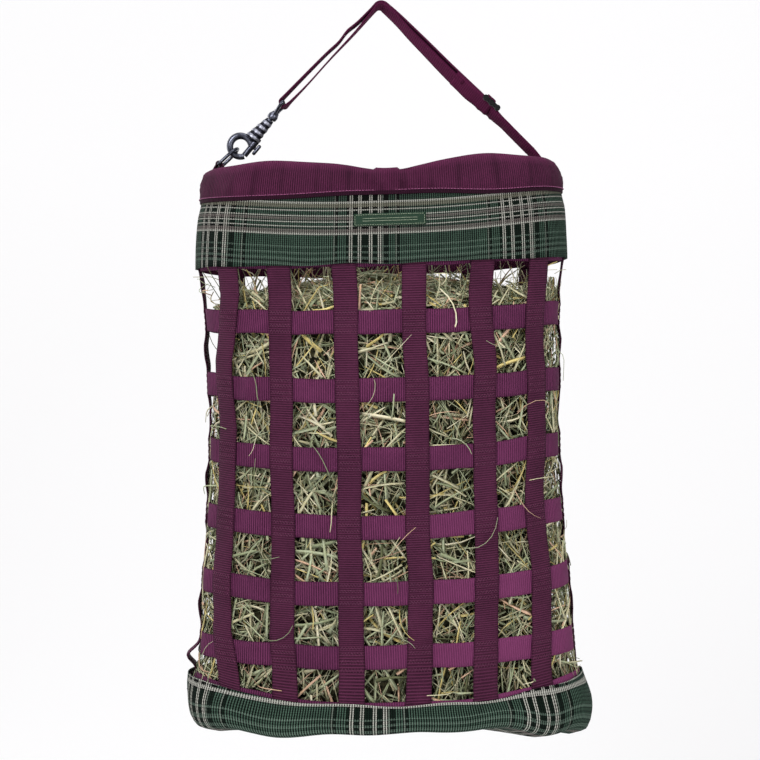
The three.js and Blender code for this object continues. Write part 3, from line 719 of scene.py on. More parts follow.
def crossing_stitches():
    """Zigzag thread across each upright strap, above and below the middle of each level band."""
    paths = []
    for k in range(STRAPS):
        for row in range(BANDS):
            middle = FIRST_BAND_Z - row * BAND_PITCH
            for line in (-9.6, -3.4, 3.4, 9.6):
                t = np.linspace(-0.42, 0.42, 15)
                z = middle + line + np.where(np.arange(15) % 2 == 0, -1.5, 1.5)
                s = strap_middle(k, z) + t * WEB + strap_wander(k, z)
                paths.append(bag_point(s, z, STRAP_IN + WEB_T + strap_stand(k, s, z) + 0.1))
    paths = np.array(paths)
    return tubes("crossing_stitches", paths, np.full(paths.shape[:2], 0.5), stitch_plum, sides=4)


fit(crossing_stitches(), "webbing", "bag")


# ---- mouth binding
DIP_AT, DIP_WIDE, DIP_DEEP = 8.0, 46.0, 11.0  # the binding droops in the middle of the front
LAP_AT = -6.0  # where its ends lap
BINDING_EDGE = 4.5  # how far its outer face ends above its bottom
BINDING_TALL = RIM_TOP - BINDING_BOTTOM - BINDING_EDGE


def binding_low(s):
    """Lower edge of the binding's outer face."""
    return BINDING_BOTTOM + BINDING_EDGE + wave(s, 0, 12, 150)


def mouth_binding():
    """Wide webbing folded over the collar's top: pinched along its stitching, full above it, and wrinkled
    where it droops."""
    s = round_bag(24)
    # outline: up the outer face, over the crest and down the inner face; share of height and offset out
    outline = np.array(
        [(0, 0.6), (0.03, 1.1), (0.09, 1.5), (0.125, 2.3), (0.15, 1.9), (0.19, 2.4), (0.3, 3.2)]
        + [(0.42, 3.7), (0.6, 3.9), (0.76, 3.5), (0.88, 2.7), (0.955, 1.2), (0.985, -0.3), (0.985, -1.9)]
        + [(0.955, -3.4), (0.88, -4.6), (0.7, -5.3), (0.4, -5.6), (0.14, -5.3), (0.04, -5.0), (0, -4.6)]
        + [(0, -4.1), (0.3, -4.1), (0.6, -4.0), (0.76, -3.4), (0.8, -2.4), (0.76, -0.5), (0.5, 0.1)]
        + [(0.2, 0.1), (0, 0.2)]
    )
    up, out = outline[:, 0], outline[:, 1]
    place = place_of(s)
    near = hump(place, DIP_AT, DIP_WIDE)
    back = 0.5 * hump(np.abs(place), ROUND / 2, 70)
    fold = np.sin(0.24 * place + 0.13 * up * BINDING_TALL + 1.1 * wave(s, 0, 5, 90))
    folds = hump(place, 18, 42)
    ripple = folds * 2.6 * fold + 0.6 * wave(s, up * 60, 9, 70) + 0.35 * wave(s, up * 60, 10, 26)
    puffed = np.clip(up * 5 - 0.5, 0, 1)
    lap = (place > LAP_AT) & (place < LAP_AT + 24)
    outer = out > 0.3
    push = TRIM_IN + out + (ripple * puffed + 0.8 * lap) * outer + 0.5 * ripple * puffed * (up > 0.85)
    high = np.clip((up - 0.3) / 0.7, 0, 1)
    z = binding_low(s) + up * (BINDING_TALL - 0.5 * wave(s, 0, 12, 150))
    z = z - (near + back) * DIP_DEEP * high**0.8 + 2.4 * lap * high
    z = z + high * (4.5 * hump(place, -122, 40) + 5.5 * hump(place, 115, 38))
    ends = high * at_ends(s, 60) * np.where(place > 0, 13.0, 3.0)
    return skin("mouth_binding", bag_point(s, z - ends, push), web_wide, s, up * 46 - 20, ring=ROUND)


def binding_stitches():
    """A row of short threads along the binding's pinched lower edge."""
    pitch, length = 3.4, 2.9
    s = np.arange(0, ROUND - pitch / 2, pitch)[:, None] + np.linspace(0, length, 4)[None]
    lift = np.array([-0.35, 0.25, 0.25, -0.35])
    paths = bag_point(s, binding_low(s) + 0.125 * BINDING_TALL, TRIM_IN + 2.3 + lift)
    return tubes("binding_stitches", paths, np.full(s.shape, 0.8), stitch_pale, sides=4)


fit(mouth_binding(), "webbing", "bag", "hem_binding")
fit(binding_stitches(), "webbing", "bag")


# ---- collar and base
def both_faces(low, high, count):
    """Heights up a cloth's outer face and down its inner one, and 1 for the outer and 0 for the inner."""
    levels = np.linspace(low, high, count)
    return np.concatenate([levels, levels[::-1]]), np.repeat([1.0, 0.0], count)


def cloth_waves(s, z):
    """How far the collar's cloth stands out."""
    return 0.55 * wave(s, z, 21, 130) + 0.25 * wave(s, z, 22, 45)


def collar():
    """The plaid band: a thin sheet with slow waves, a little proud along its lower edge."""
    s = round_bag(14)
    z, through = both_faces(COLLAR_BOTTOM, RIM_TOP - 22, 22)
    low = np.clip((COLLAR_BOTTOM + 30 - z) / 30, 0, 1)
    free = np.clip((BINDING_BOTTOM + 2 - z) / 12, 0, 1)
    out = PANEL_IN + through * MESH_T + free * (1 + cloth_waves(s, z)) + 0.8 * low**2
    rows = bag_point(s, z + 0.8 * wave(s, 0, 24, 110) * low, out)
    return skin("plaid_collar_band", rows, collar_cloth, *cloth_uv(s, z, 11.0, (11, 4)), ring=ROUND)


# Where the base's skirt hangs lower: how far, its distance from the middle of the front and how widely.
DROOPS = ((7.5, -104, 40), (8, 158, 30), (-2.5, 100, 30), (6.5, -200, 34), (15, 224, 32))


def base():
    """The boat-shaped bottom, a thin shell open at its rim. Its skirt waves; its underside is nearly flat."""
    s = round_bag(14)
    down = np.concatenate([np.linspace(BASE_RIM, BOTTOM + 6, 17), [BOTTOM + 3.4, BOTTOM + 1.4, BOTTOM]])
    shares = [0.93, 0.8, 0.55, 0.25, 0.02]
    z = np.concatenate([down, np.full(len(shares), BOTTOM)])
    share = np.concatenate([np.ones(len(down)), shares])
    rim = np.clip((z - BASE_RIM + 10) / 10, 0, 1)
    skirt = np.clip((BASE_RIM - z) / 20, 0, 1)

    def sheet_at(inset):
        out = PANEL_IN + MESH_T - inset + 0.9 * rim * wave(s, 0, 31, 120)
        out = out + skirt * (1.1 * wave(s, z, 32, 110) + 0.4 * wave(s, z, 33, 40))
        left = place_of(s) < 0
        ear = np.where(left, 5.5, 1.0) * hump(z, BASE_RIM, 18)
        out = out + at_ends(s, 24) * (ear + np.where(left, -3.5, 3.0) * skirt)
        lift = 1.1 * wave(s, 0, 34, 130) * rim + skirt * wave(s, 0, 35, 150)
        for droop, at, wide in DROOPS:
            lift = lift - droop * skirt * hump(place_of(s), at, wide)
        points = bag_point(s, z, out, share)
        points[..., 2] += lift * share**2 + inset * (share < 1)
        return points

    outer, inner = sheet_at(0.0), sheet_at(MESH_T)
    rows = np.concatenate([outer, inner[:, ::-1]], axis=1)
    measured = np.concatenate([[0], np.cumsum(np.linalg.norm(np.diff(outer[0], axis=0), axis=1))])
    fall = BASE_RIM - np.concatenate([measured, measured[::-1]])
    return skin("plaid_base_shell", rows, base_cloth, *cloth_uv(s, fall, -6.0, (9, 0)), ring=ROUND)


collar_band = fit(collar(), "plaid_mesh", "bag", "collar_panel")
base_shell = fit(base(), "plaid_mesh", "bag", "base_panel")


# ---- label
LABEL_MIDDLE, LABEL_HALF, LABEL_LOW, LABEL_HIGH = 8.5, 36.5, -241.5, -228.5


def label():
    """A plain woven patch."""
    s = np.linspace(LABEL_MIDDLE - LABEL_HALF, LABEL_MIDDLE + LABEL_HALF, 30)[:, None]
    z, through = both_faces(LABEL_LOW, LABEL_HIGH, 6)
    out = TRIM_IN + 1.5 + 0.7 * through + cloth_waves(s, z)
    return skin("plain_label", bag_point(s, z, out), label_cloth, s, z)


def label_stitches():
    """Cream thread round the patch and a plain double rule along its middle."""
    paths = []

    def row(starts, at, length, upright=False):
        for start in starts:
            along = start + np.linspace(0, length, 3)
            s, z = (at, along) if upright else (along, at)
            paths.append(bag_point(s, z, TRIM_IN + 2.35 + cloth_waves(s, z)))

    left, right = LABEL_MIDDLE - LABEL_HALF, LABEL_MIDDLE + LABEL_HALF
    for above, inset, length in ((1.3, 2.0, 1.7), (5.2, 9.0, 2.6)):
        for z in (LABEL_LOW + above, LABEL_HIGH - above):
            row(np.arange(left + inset, right - inset - 1.5, 2.4), z, length)
    for s in (left + 1.3, right - 1.3):
        row(np.arange(LABEL_LOW + 1.4, LABEL_HIGH - 2.5, 2.4), s, 1.7, upright=True)
    paths = np.array(paths)
    return tubes("label_stitches", paths, np.full(paths.shape[:2], 0.55), cream_thread, sides=4)


patch = fit(label(), "label", "bag", "collar_label")
label_thread = fit(label_stitches(), "label", "bag")


# ---- hay
SHOULDER = -318.0  # where the hay leaves the sides of the net
CROWN = 30.0  # how far its middle stands above that
STALKS = 9600
TINTS = [
    (srgb(190, 186, 158), 0.27),
    (srgb(164, 171, 144), 0.27),
    (srgb(134, 142, 116), 0.14),
    (srgb(200, 184, 126), 0.08),
    (srgb(204, 170, 148), 0.08),
    (srgb(210, 204, 180), 0.1),
    (srgb(92, 96, 70), 0.05),
]


def pick_tints(count):
    shares = np.array([share for _, share in TINTS])
    chosen = rng.choice(len(TINTS), count, p=shares / shares.sum())
    base = np.array([colour for colour, _ in TINTS])[chosen]
    return np.clip(base * rng.uniform(0.8, 1.25, (count, 1)), 0, 1)


def side_stalks(count):
    """Stalks lying in the outer 18 mm of the hay, in every direction, bent round the bag."""
    t = np.linspace(-0.5, 0.5, 5)[None]
    heading = rng.normal(math.pi / 2, 0.95, (count, 1)) + rng.choice([0, 0.6, -0.6], (count, 1))
    length = rng.uniform(16, 70, (count, 1))
    bend = rng.normal(0, 0.016, (count, 1)) * length
    bow = bend * t**2 * length * 0.25
    s = rng.uniform(0, ROUND, (count, 1)) + length * t * np.cos(heading) - bow * np.sin(heading)
    z = rng.uniform(-748, SHOULDER + 8, (count, 1)) + length * t * np.sin(heading) + bow * np.cos(heading)
    depth = 1.0 + 17 * rng.uniform(0, 1, (count, 1)) ** 0.9 + rng.normal(0, 6, (count, 1)) * t
    depth = np.maximum(depth - 5 * at_ends(s, 12), 1 - 3 * at_ends(s, 12))
    slack = np.interp(z, [-470, -420, -385, -320], [0, 6, 13, 19])  # the hay has sunk at the left end
    depth = depth + slack * (place_of(s) < 0) * at_ends(s, 20)
    return bag_point(s, np.clip(z, -760, SHOULDER + 18), -depth)


def top_point(x, y, sunk):
    """On the domed top of the hay, at shares x and y of the way to its sides."""
    far = np.hypot(x, y)
    z = SHOULDER + CROWN * (1 - np.clip(far, 0, 1) ** 1.6) - sunk
    a, b = smooth_through(z, 1), smooth_through(z, 2)
    return np.stack([middle_at(z) + x * (a - 6), y * (b - 5), z - 5 + 0.019 * x * a], axis=-1)


def top_stalks(count):
    """Stalks heaped on top, some standing up out of it."""
    t = np.linspace(-0.5, 0.5, 5)[None]
    far = np.sqrt(rng.uniform(0, 0.9, (count, 1)))
    round_at = rng.uniform(0, math.tau, (count, 1))
    heading = rng.uniform(0, math.pi, (count, 1))
    length = rng.uniform(25, 80, (count, 1))
    x = far * np.cos(round_at) + length * t * np.cos(heading) / 185
    y = far * np.sin(round_at) + length * t * np.sin(heading) / 90
    near_edge = np.maximum(np.hypot(x, y), 1.0)
    x, y = x / near_edge, y / near_edge
    sunk = 10 * rng.uniform(0, 1, (count, 1)) + rng.normal(0, 7, (count, 1)) * t
    return top_point(x, y, sunk - 6 * rng.uniform(0, 1, (count, 1)) ** 4)


def loose_stalks(count):
    """Stalks standing up out of the top, loosely, towards the front."""
    t = np.linspace(0, 1, 5)[None]
    x = rng.uniform(-0.93, 0.93, (count, 1))
    y = -np.sqrt(1 - np.abs(x) ** 2.3) * rng.uniform(0.0, 0.93, (count, 1))
    lean, curl = rng.normal(0, 0.8, (count, 1)), rng.normal(0, 0.5, (count, 1))
    length = rng.uniform(20, 62, (count, 1))
    points = top_point(x + 0 * t, y + 0 * t, 8 + 0 * t)
    points[..., 0] += length * t * np.sin(lean + curl * t)
    points[..., 2] += length * t * np.cos(lean + curl * t)
    points[..., 2] = np.minimum(points[..., 2], -252 - 6 * t)
    return points


def stalk_widths(count, steps, low=0.9, high=5.6):
    """Widths along each stalk: most are thin, and each tapers."""
    wide = low + (high - low) * rng.uniform(0, 1, (count, 1)) ** 2.4
    taper = 1 - np.linspace(0, 1, steps)[None] * rng.uniform(0.1, 0.65, (count, 1))
    return wide * taper


def stray_stalks(count):
    """A few long stalks that have worked out through the net and lie over its straps."""
    t = np.linspace(0, 1, 7)[None]
    heading = rng.normal(0.2, 0.8, (count, 1)) + math.pi * rng.integers(0, 2, (count, 1))
    length = rng.uniform(18, 52, (count, 1))
    curl = rng.normal(0, 0.6, (count, 1))
    window = (rng.integers(0, STRAPS, (count, 1)) + rng.uniform(-0.22, 0.22, (count, 1))) * PITCH
    level = FIRST_BAND_Z + BAND_PITCH * (0.5 - rng.integers(0, BANDS + 1, (count, 1)))
    level = level + rng.uniform(-18, 18, (count, 1))
    s = window + length * t * np.cos(heading + curl * t)
    z = level + length * t * np.sin(heading + curl * t)
    out = -5 + (11.5 + rng.uniform(-1, 2, (count, 1))) * np.clip(t * 2.6, 0, 1) ** 0.8
    return bag_point(s, np.clip(z, -716, -292), out)


def hay_piece(name, stalks, widths, tint, **how):
    return fit(tubes(name, stalks, widths, hay_cloth, tint=tint, **how), "hay", "bag")


for k, stalks in enumerate(np.array_split(side_stalks(STALKS), 3)):
    outward = stalks - [5, 0, 0]
    outward[..., 2] = 0
    tint = pick_tints(len(stalks))
    hay_piece(f"hay_stalks_{k + 1}", stalks, stalk_widths(len(stalks), 5), tint, thickness=0.6, up=outward)
for name, heap, count, size, how in (
    ("hay_stalks_top", top_stalks, 2200, (5, 0.9, 5.6), {"thickness": 0.6, "up": [0, -0.5, 0.8]}),
    ("hay_stalks_loose", loose_stalks, 260, (5, 0.8, 3.0), {"thickness": 0.6}),
    ("hay_strays", stray_stalks, 110, (7, 0.9, 2.4), {"thickness": 0.7, "sides": 4}),
):
    hay_piece(name, heap(count), stalk_widths(count, *size), pick_tints(count), **how)


def hay_heart():
    """The mass of hay behind the stalks, painted dark as painted shade behind and between them."""
    s = round_bag(10)
    z = np.concatenate([np.full(4, -764.0), np.linspace(-758, SHOULDER - 12, 46)])
    share = np.concatenate([[0.02, 0.3, 0.6, 0.85], np.full(46, 0.97)])
    rough = 3 * wave(s, z, 41, 24) + 2 * wave(s, z, 42, 60)
    rows = bag_point(s, z, -17 + rough * (share > 0.9), share)
    far = np.array([0.86, 0.7, 0.5, 0.3, 0.12, 0.01])
    turn = np.interp(np.mod(s, ROUND), LENGTHS, TURNS)
    cap = top_point(np.sin(turn) * far, -np.cos(turn) * far, 15 + 2.5 * wave(s, far * 100, 43, 40))
    return skin("hay_heart", np.concatenate([rows, cap], axis=1).transpose(1, 0, 2), hay_in_shade)


fit(hay_heart(), "hay", "bag", "hay_fill")


# ---- the handle, in its own plane
LEG, LOWER_LEG = math.radians(48.2), math.radians(41)  # from upright
BEND = (174.0, 188.0)  # lengths down the leg between which it turns from one to the other
HOOK_R = 5.0  # of what it hangs from, not modelled
LAYER = WEB_T + AIR
LEG_TWIST, END_TWIST = math.radians(30), math.radians(13.5)
SLIDER_L = 158.0  # length down the leg
RETURN_END = 119.5  # where the strap's inner layer ends
HINGE_X, HINGE_Z = 169.3, -153.35
CREST = np.array([0, 0, -HOOK_R])
CREST_UP = np.array([1.2, 0, 2.4])  # how far the slack strap stands off the hook
# Turn and sag of the adjusting leg's outer layer, by length.
LEG_TURN = np.radians([11, 13, 13, 18.5, 21.5, 22, 13.5, 13.5])
LEG_TURN_AT = [0, 8, 30, 90, 140, 164, 178, 300]
LEG_SAG_AT = [0, 24, 59, 95, 130, 144, 158, 172, 190, 210, 226]
LEG_SAG = [-2.6, -2.6, -0.8, 1.6, 3.0, 3.4, 4.8, 7.0, 6.2, 4.9, 3.8]
OUTER_R = HOOK_R + WEB_T / 2 + LAYER
INNER_R = OUTER_R - LAYER
LOOP_R = 4.3
BACK = np.array([0.0, 1.0, 0.0])


def heading(angle):
    """The way at an angle from straight up, towards the right."""
    return np.array([math.sin(angle), 0, math.cos(angle)])


def ease(v, low, high):
    """0 up to low, 1 from high on and a smooth step between."""
    t = min(max((v - low) / (high - low), 0), 1)
    return t * t * (3 - 2 * t)


def leg_path(length):
    """Middle of the outer layer on the adjusting leg, and the way out of it."""
    turn = (LEG - LOWER_LEG) / (BEND[1] - BEND[0])
    arc = min(max(length, BEND[0]), BEND[1]) - BEND[0]
    angle = LEG - turn * arc
    point = CREST + heading(math.pi / 2 - LEG) * OUTER_R
    point = point + min(length, BEND[0]) * np.array([math.sin(LEG), 0, -math.cos(LEG)])
    point = point + np.array([math.cos(angle) - math.cos(LEG), 0, math.sin(angle) - math.sin(LEG)]) / turn
    point = point + max(length - BEND[1], 0) * np.array([math.sin(LOWER_LEG), 0, -math.cos(LOWER_LEG)])
    return point, heading(math.pi / 2 - angle)


def twisted(point, normal, angle):
    """A station of strap: its middle, the way out of its outer face and the way across it."""
    c, s = math.cos(angle), math.sin(angle)
    return np.array([point, normal * c + BACK * s, BACK * c - normal * s])


def leg_station(length, layers_in):
    """A station of the adjusting leg, as it sags and turns."""
    point, normal = leg_path(length)
    near = length + np.linspace(-7, 7, 9)
    turn = float(np.interp(near, LEG_TURN_AT, LEG_TURN).mean())
    station = twisted(point - normal * float(np.interp(near, LEG_SAG_AT, LEG_SAG).mean()), normal, turn)
    station[0] -= layers_in * (LAYER + 0.6 * ease(length, 5, 40)) * station[1]
    station[0] += layers_in * 3.8 * ease(length, 5, 50) * station[2]
    return station


def arc_stations(centre, radius, start, stop, count, turns=(0, 0)):
    """Stations round a bar, the strap turned about its run by turns at the start and at the end."""
    angles, twists = np.linspace(start, stop, count), np.linspace(*turns, count)
    return [twisted(centre + heading(a) * radius, heading(a), t) for a, t in zip(angles, twists)]


def leaving(crest_r, loop_r):
    """The angle at which the strap leaves the crest for the snap's eye."""
    between = EYE - CREST - CREST_UP
    slope = math.asin((crest_r - loop_r) / np.linalg.norm(between))
    return math.atan2(between[0], between[2]) + math.pi / 2 - slope


def low_bow(t):
    """How far the lower run of slack strap hangs off its line, at shares of its length from the crest."""
    return 1.2 * math.sin(math.pi * t) ** 0.8 + 0.5 * math.sin(9 * t) * math.sin(math.pi * t)


def high_bow(t):
    """The same for the upper run, at shares of its length from the eye: it kinks towards the crest."""
    kink = 1.5 * hump(t, 0.72, 0.06) - 0.8 * hump(t, 0.6, 0.07)
    return 0.8 * math.sin(math.pi * t) + kink


def run_between(start, stop, turns, bow, count=30):
    """Stations of the slack strap along a straight run, bowed and turned a little."""
    way = unit(stop[0] - start[0])
    out = start[1] - way * (start[1] @ way)
    out[1] = 0
    out = unit(out)
    made = []
    for t in np.linspace(0, 1, count)[1:-1]:
        across = start[2] * (1 - t) + stop[2] * t
        level = math.sin(math.pi * t) ** 0.5
        turn = (turns[0] * (1 - t) + turns[1] * t) * level
        across = across + out * math.tan(turn)
        across = unit(across - way * (across @ way))
        normal = np.cross(across, way)
        normal *= np.sign(normal @ out)
        made.append(np.array([start[0] * (1 - t) + stop[0] * t + out * bow(t), normal, across]))
    return made


def ribbon(name, stations, material):
    """A flat strap through its stations."""
    stations = np.array(stations)
    middle, out, side = stations[:, 0], stations[:, 1], stations[:, 2]
    along = np.concatenate([[0], np.cumsum(np.linalg.norm(np.diff(middle, axis=0), axis=1))])[:, None]
    across, through = SECTION[:, 0] * WEB, (SECTION[:, 1] - 0.5) * WEB_T
    rows = middle[:, None] + side[:, None] * across[None, :, None]
    rows = rows + out[:, None] * through[None, :, None]
    return skin(name, rows, material, along, across)


def handle_webbing():
    """One strap: from its free end inside the adjusting leg, over the crest, round the snap's eye, back
    over the crest, down through the slider and inside the mouth binding."""
    hinge_length = BEND[1] + (leg_path(BEND[1])[0][2] - HINGE_Z) / math.cos(LOWER_LEG)
    inner_leave, outer_leave = leaving(INNER_R, -LOOP_R), leaving(OUTER_R, LOOP_R)
    leg_top = math.pi / 2 - LEG
    inner_leg = [leg_station(length, 1) for length in np.linspace(RETURN_END, 3, 36)]
    inner_crest = arc_stations(CREST + CREST_UP, INNER_R, leg_top, inner_leave, 14, (LEG_TURN[0], 0.04))
    loop = arc_stations(EYE, LOOP_R, inner_leave + math.pi, outer_leave + math.tau, 16)
    outer_crest = arc_stations(CREST + CREST_UP, OUTER_R, outer_leave, leg_top, 14, (0.04, LEG_TURN[0]))
    for station in inner_leg + inner_crest:
        station[1] *= -1
    low_run = run_between(inner_crest[-1], loop[0], (-0.1, -0.17), low_bow)
    high_run = run_between(loop[-1], outer_crest[0], (0.05, 0.1), high_bow)
    down = [leg_station(length, 0) for length in np.linspace(3, hinge_length - 2, 74)]
    tail = []
    for z in np.linspace(HINGE_Z + 1, BINDING_BOTTOM + 2, 34):
        lower, upper = anchor_x(z - 0.5), anchor_x(z + 0.5)
        way = unit(np.array([lower - upper, 0, -1.0]))
        normal = np.array([-way[2], 0, way[0]])
        fade = ease(z, -200, HINGE_Z)
        point = np.array([anchor_x(z), 0, z]) - LEG_SAG[-1] * fade * heading(math.pi / 2 - LOWER_LEG)
        tail.append(twisted(point, normal, END_TWIST * ease(z, RIM_TOP - 6, HINGE_Z)))
    stations = inner_leg + inner_crest + low_run + loop + high_run + outer_crest + down + tail
    return ribbon("handle_webbing", stations, web_handle)


def binding_inside(side, z):
    """Inside of the binding at height z: at the bag's right end where side is 1, its left where it is -1."""
    return float(middle_at(z)) + side * (float(smooth_through(np.array(z), 1)) - 0.4)


def anchor_x(z):
    """Middle of the handle at height z: down the line of its leg, then eased along inside the binding."""
    on_leg = HINGE_X + (HINGE_Z - z) * math.tan(LOWER_LEG)
    on_binding = binding_inside(1, z) - WEB_T / 2
    return -1.5 * math.log(math.exp((on_binding - on_leg) / 1.5) + 1) + on_binding


webbing = handle_webbing()
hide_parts("handle_strap", "handle_anchor")
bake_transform(webbing)


# ---- slider and the strap's end
def slider_frame(turn=LEG_TWIST):
    """The slider's own axes: out of the strap, across it and up the leg."""
    point, normal, across = twisted(*leg_path(SLIDER_L), turn)
    frame = np.eye(4)
    frame[:3, :3] = np.c_[normal, across, np.cross(normal, across)]
    frame[:3, 3] = point
    return frame


def to_row(points, frame):
    """Points of a frame, in the object's own coordinates."""
    return np.asarray(points) @ frame[:3, :3].T + frame[:3, 3]


def moved(frame, place, axes=((1, 0, 0), (0, 1, 0), (0, 0, 1))):
    """A frame moved to a place in it, and turned to other axes."""
    made = frame.copy()
    made[:3, :3] = frame[:3, :3] @ np.array(axes)
    made[:3, 3] = to_row([place], frame)[0]
    return made


def strap_end():
    """The end of the strap, looped round the slider's middle bar and sewn to itself."""
    bar_x, wrap_r, front = -4.4, 2.4, -2 * LAYER - 2.0
    stops = [(bar_x + wrap_r, 9, 0.0)]
    stops += [(bar_x + wrap_r * math.cos(a), wrap_r * math.sin(a), a) for a in np.linspace(0, -math.pi, 18)]
    stops += [(bar_x - wrap_r + 0.3, 2, -math.pi - 0.05), (bar_x - wrap_r + 0.4, 3, -math.pi - 0.14)]
    wrapped = len(stops)
    stops += [(front - 1.2, 8, -math.pi - 0.2), (front - 0.3, 12, -math.pi - 0.2)]
    stops += [(front - 0.05, 15, -math.pi - 0.06)]
    stops += [(front + 1.5 * ease(z, 20, 47), z, -math.pi) for z in np.linspace(17, 50, 12)]
    frame = slider_frame()
    turned = [np.array([(x, 0, z), (math.cos(a), 0, math.sin(a)), BACK]) for x, z, a in stops]
    for station in turned[wrapped:]:
        station[0][1] += 2.4 * ease(station[0][2], 8, 30)
    rows = [np.array([to_row([p], frame)[0], frame[:3, :3] @ n, frame[:3, :3] @ b]) for p, n, b in turned]
    return ribbon("strap_end_loop", rows, web_handle)


fit(strap_end(), "webbing", "slider", "strap_end_fold")


def join(name, parts, material):
    """Several closed pieces as one."""
    made = bpy.data.meshes.new(name)
    merged = bmesh.new()
    for part in parts:
        merged.from_mesh(part.data)
        bpy.data.objects.remove(part)
    merged.to_mesh(made)
    merged.free()
    made.materials.append(material)
    piece = bpy.data.objects.new(name, made)
    bpy.context.scene.collection.objects.link(piece)
    return piece


def turned_piece(profile, frame, axis="z", segments=64, material=gunmetal):
    """A turned body from its (radius, height) profile, low end first, about z or x of a frame."""
    profile = np.array(profile, float)
    angle = np.linspace(0, math.tau, segments, endpoint=False)
    r, h = np.maximum(profile[:, 0], 0.01)[:, None], profile[:, 1][:, None]
    x, y, z = r * np.cos(angle), r * np.sin(angle), h + 0 * angle
    rows = np.stack([x, y, z] if axis == "z" else [z, x, y], axis=-1)
    return skin("turned", to_row(rows, frame), material)


def wire(path, radius, closed, up, sides=20):
    """Round wire along a path, its radius steady or one for each point."""
    path = np.asarray(path, float)
    if closed:
        way = np.roll(path, -1, axis=0) - np.roll(path, 1, axis=0)
    else:
        way = np.gradient(path, axis=0)
    way = unit(way)
    side = unit(np.cross(up, way))
    over = np.cross(way, side)
    angle = np.linspace(0, math.tau, sides, endpoint=False)
    size = np.broadcast_to(np.asarray(radius, float), (len(path),))[:, None, None]
    rim = side[:, None] * np.cos(angle)[None, :, None] + over[:, None] * np.sin(angle)[None, :, None]
    return skin("wire", path[:, None] + rim * size, gunmetal, ring=1.0 if closed else 0.0)


def rounded(line, reach, steps=3, closed=False):
    """A line with its corners eased."""
    line = np.asarray(line, float)
    out = [] if closed else [line[0]]
    around = list(zip(np.roll(line, 1, axis=0), line, np.roll(line, -1, axis=0)))
    for before, here, after in around if closed else around[1:-1]:
        a, b = before - here, after - here
        near = min(reach, 0.45 * np.linalg.norm(a), 0.45 * np.linalg.norm(b))
        start, stop = here + unit(a) * near, here + unit(b) * near
        for t in np.linspace(0, 1, steps + 1):
            out.append((1 - t) ** 2 * start + 2 * t * (1 - t) * here + t**2 * stop)
    return np.array(out if closed else out + [line[-1]])


def shade(piece):
    """Smooth shading, with sharp edges kept."""
    limit = math.radians(38)
    made = bmesh.new()
    made.from_mesh(piece.data)
    for face in made.faces:
        face.smooth = True
    for edge in made.edges:
        edge.smooth = edge.is_manifold and edge.calc_face_angle(0) < limit
    made.to_mesh(piece.data)
    made.free()


def cut(piece, tools):
    """Takes the tools' volumes out of the piece."""
    for tool in tools:
        step = piece.modifiers.new("cut", "BOOLEAN")
        step.operation = "DIFFERENCE"
        step.solver = "EXACT"
        step.object = tool
    bpy.context.view_layer.update()
    done = bpy.data.meshes.new_from_object(piece.evaluated_get(bpy.context.evaluated_depsgraph_get()))
    piece.modifiers.clear()
    piece.data = done
    for tool in tools:
        bpy.data.objects.remove(tool)
    return piece


def snap_frame():
    c, s = math.cos(SNAP_TILT), math.sin(SNAP_TILT)
    frame = np.eye(4)
    frame[:3, :3] = [[c, 0, s], [0, 1, 0], [-s, 0, c]]
    frame[:3, 3] = EYE
    return frame


SNAP = snap_frame()
BOLT = moved(SNAP, (2.9, 0, 0))
HOOK_MIDDLE = np.array([-6.8, 0, -66.7])  # of the snap's ring, in the snap's frame
HOOK_ROUND, HOOK_WIRE = 11.5, 3.3
RING_BAR = np.array([-174.6, 0, -171.3])  # middle of the D-ring's straight bar
RING_BOW, RING_WIRE = 15.0, 1.9


def snap_eye():
    """The snap's swivel: a flat-topped loop for the strap and the turned ring under it."""
    line = [(0, -14.9, 0), (0, 14.9, 0), (0, 14.9, -5), (0, 4, -15), (0, -4, -15), (0, -14.9, -5)]
    loop = wire(to_row(rounded(line, 2.2, 5, closed=True), SNAP), 1.8, True, SNAP[:3, 0])
    outer = [(2.4, -22.8), (4.6, -22.8), (5.6, -21.2), (5.6, -17.4), (4.4, -15.4), (3.6, -13), (2.4, -13)]
    ring = rounded(outer, 0.9)
    return join("snap_swivel_eye", [loop, turned_piece(np.concatenate([ring, ring[:1]]), SNAP)], gunmetal)


def bolt_slot():
    """The slot in the snap's side in which the bolt's knob slides."""
    points = [(x, y, z) for x in (2.9, 14) for y in (-1.9, 1.9) for z in (-61.5, -49.6)]
    sides = np.array([(0, 1, 3, 2), (4, 6, 7, 5), (0, 4, 5, 1), (2, 3, 7, 6), (0, 2, 6, 4), (1, 5, 7, 3)])
    slot = make_piece("slot", to_row(points, SNAP), [(sides, 4)], gunmetal, smooth=False)
    face_out(slot)
    return slot


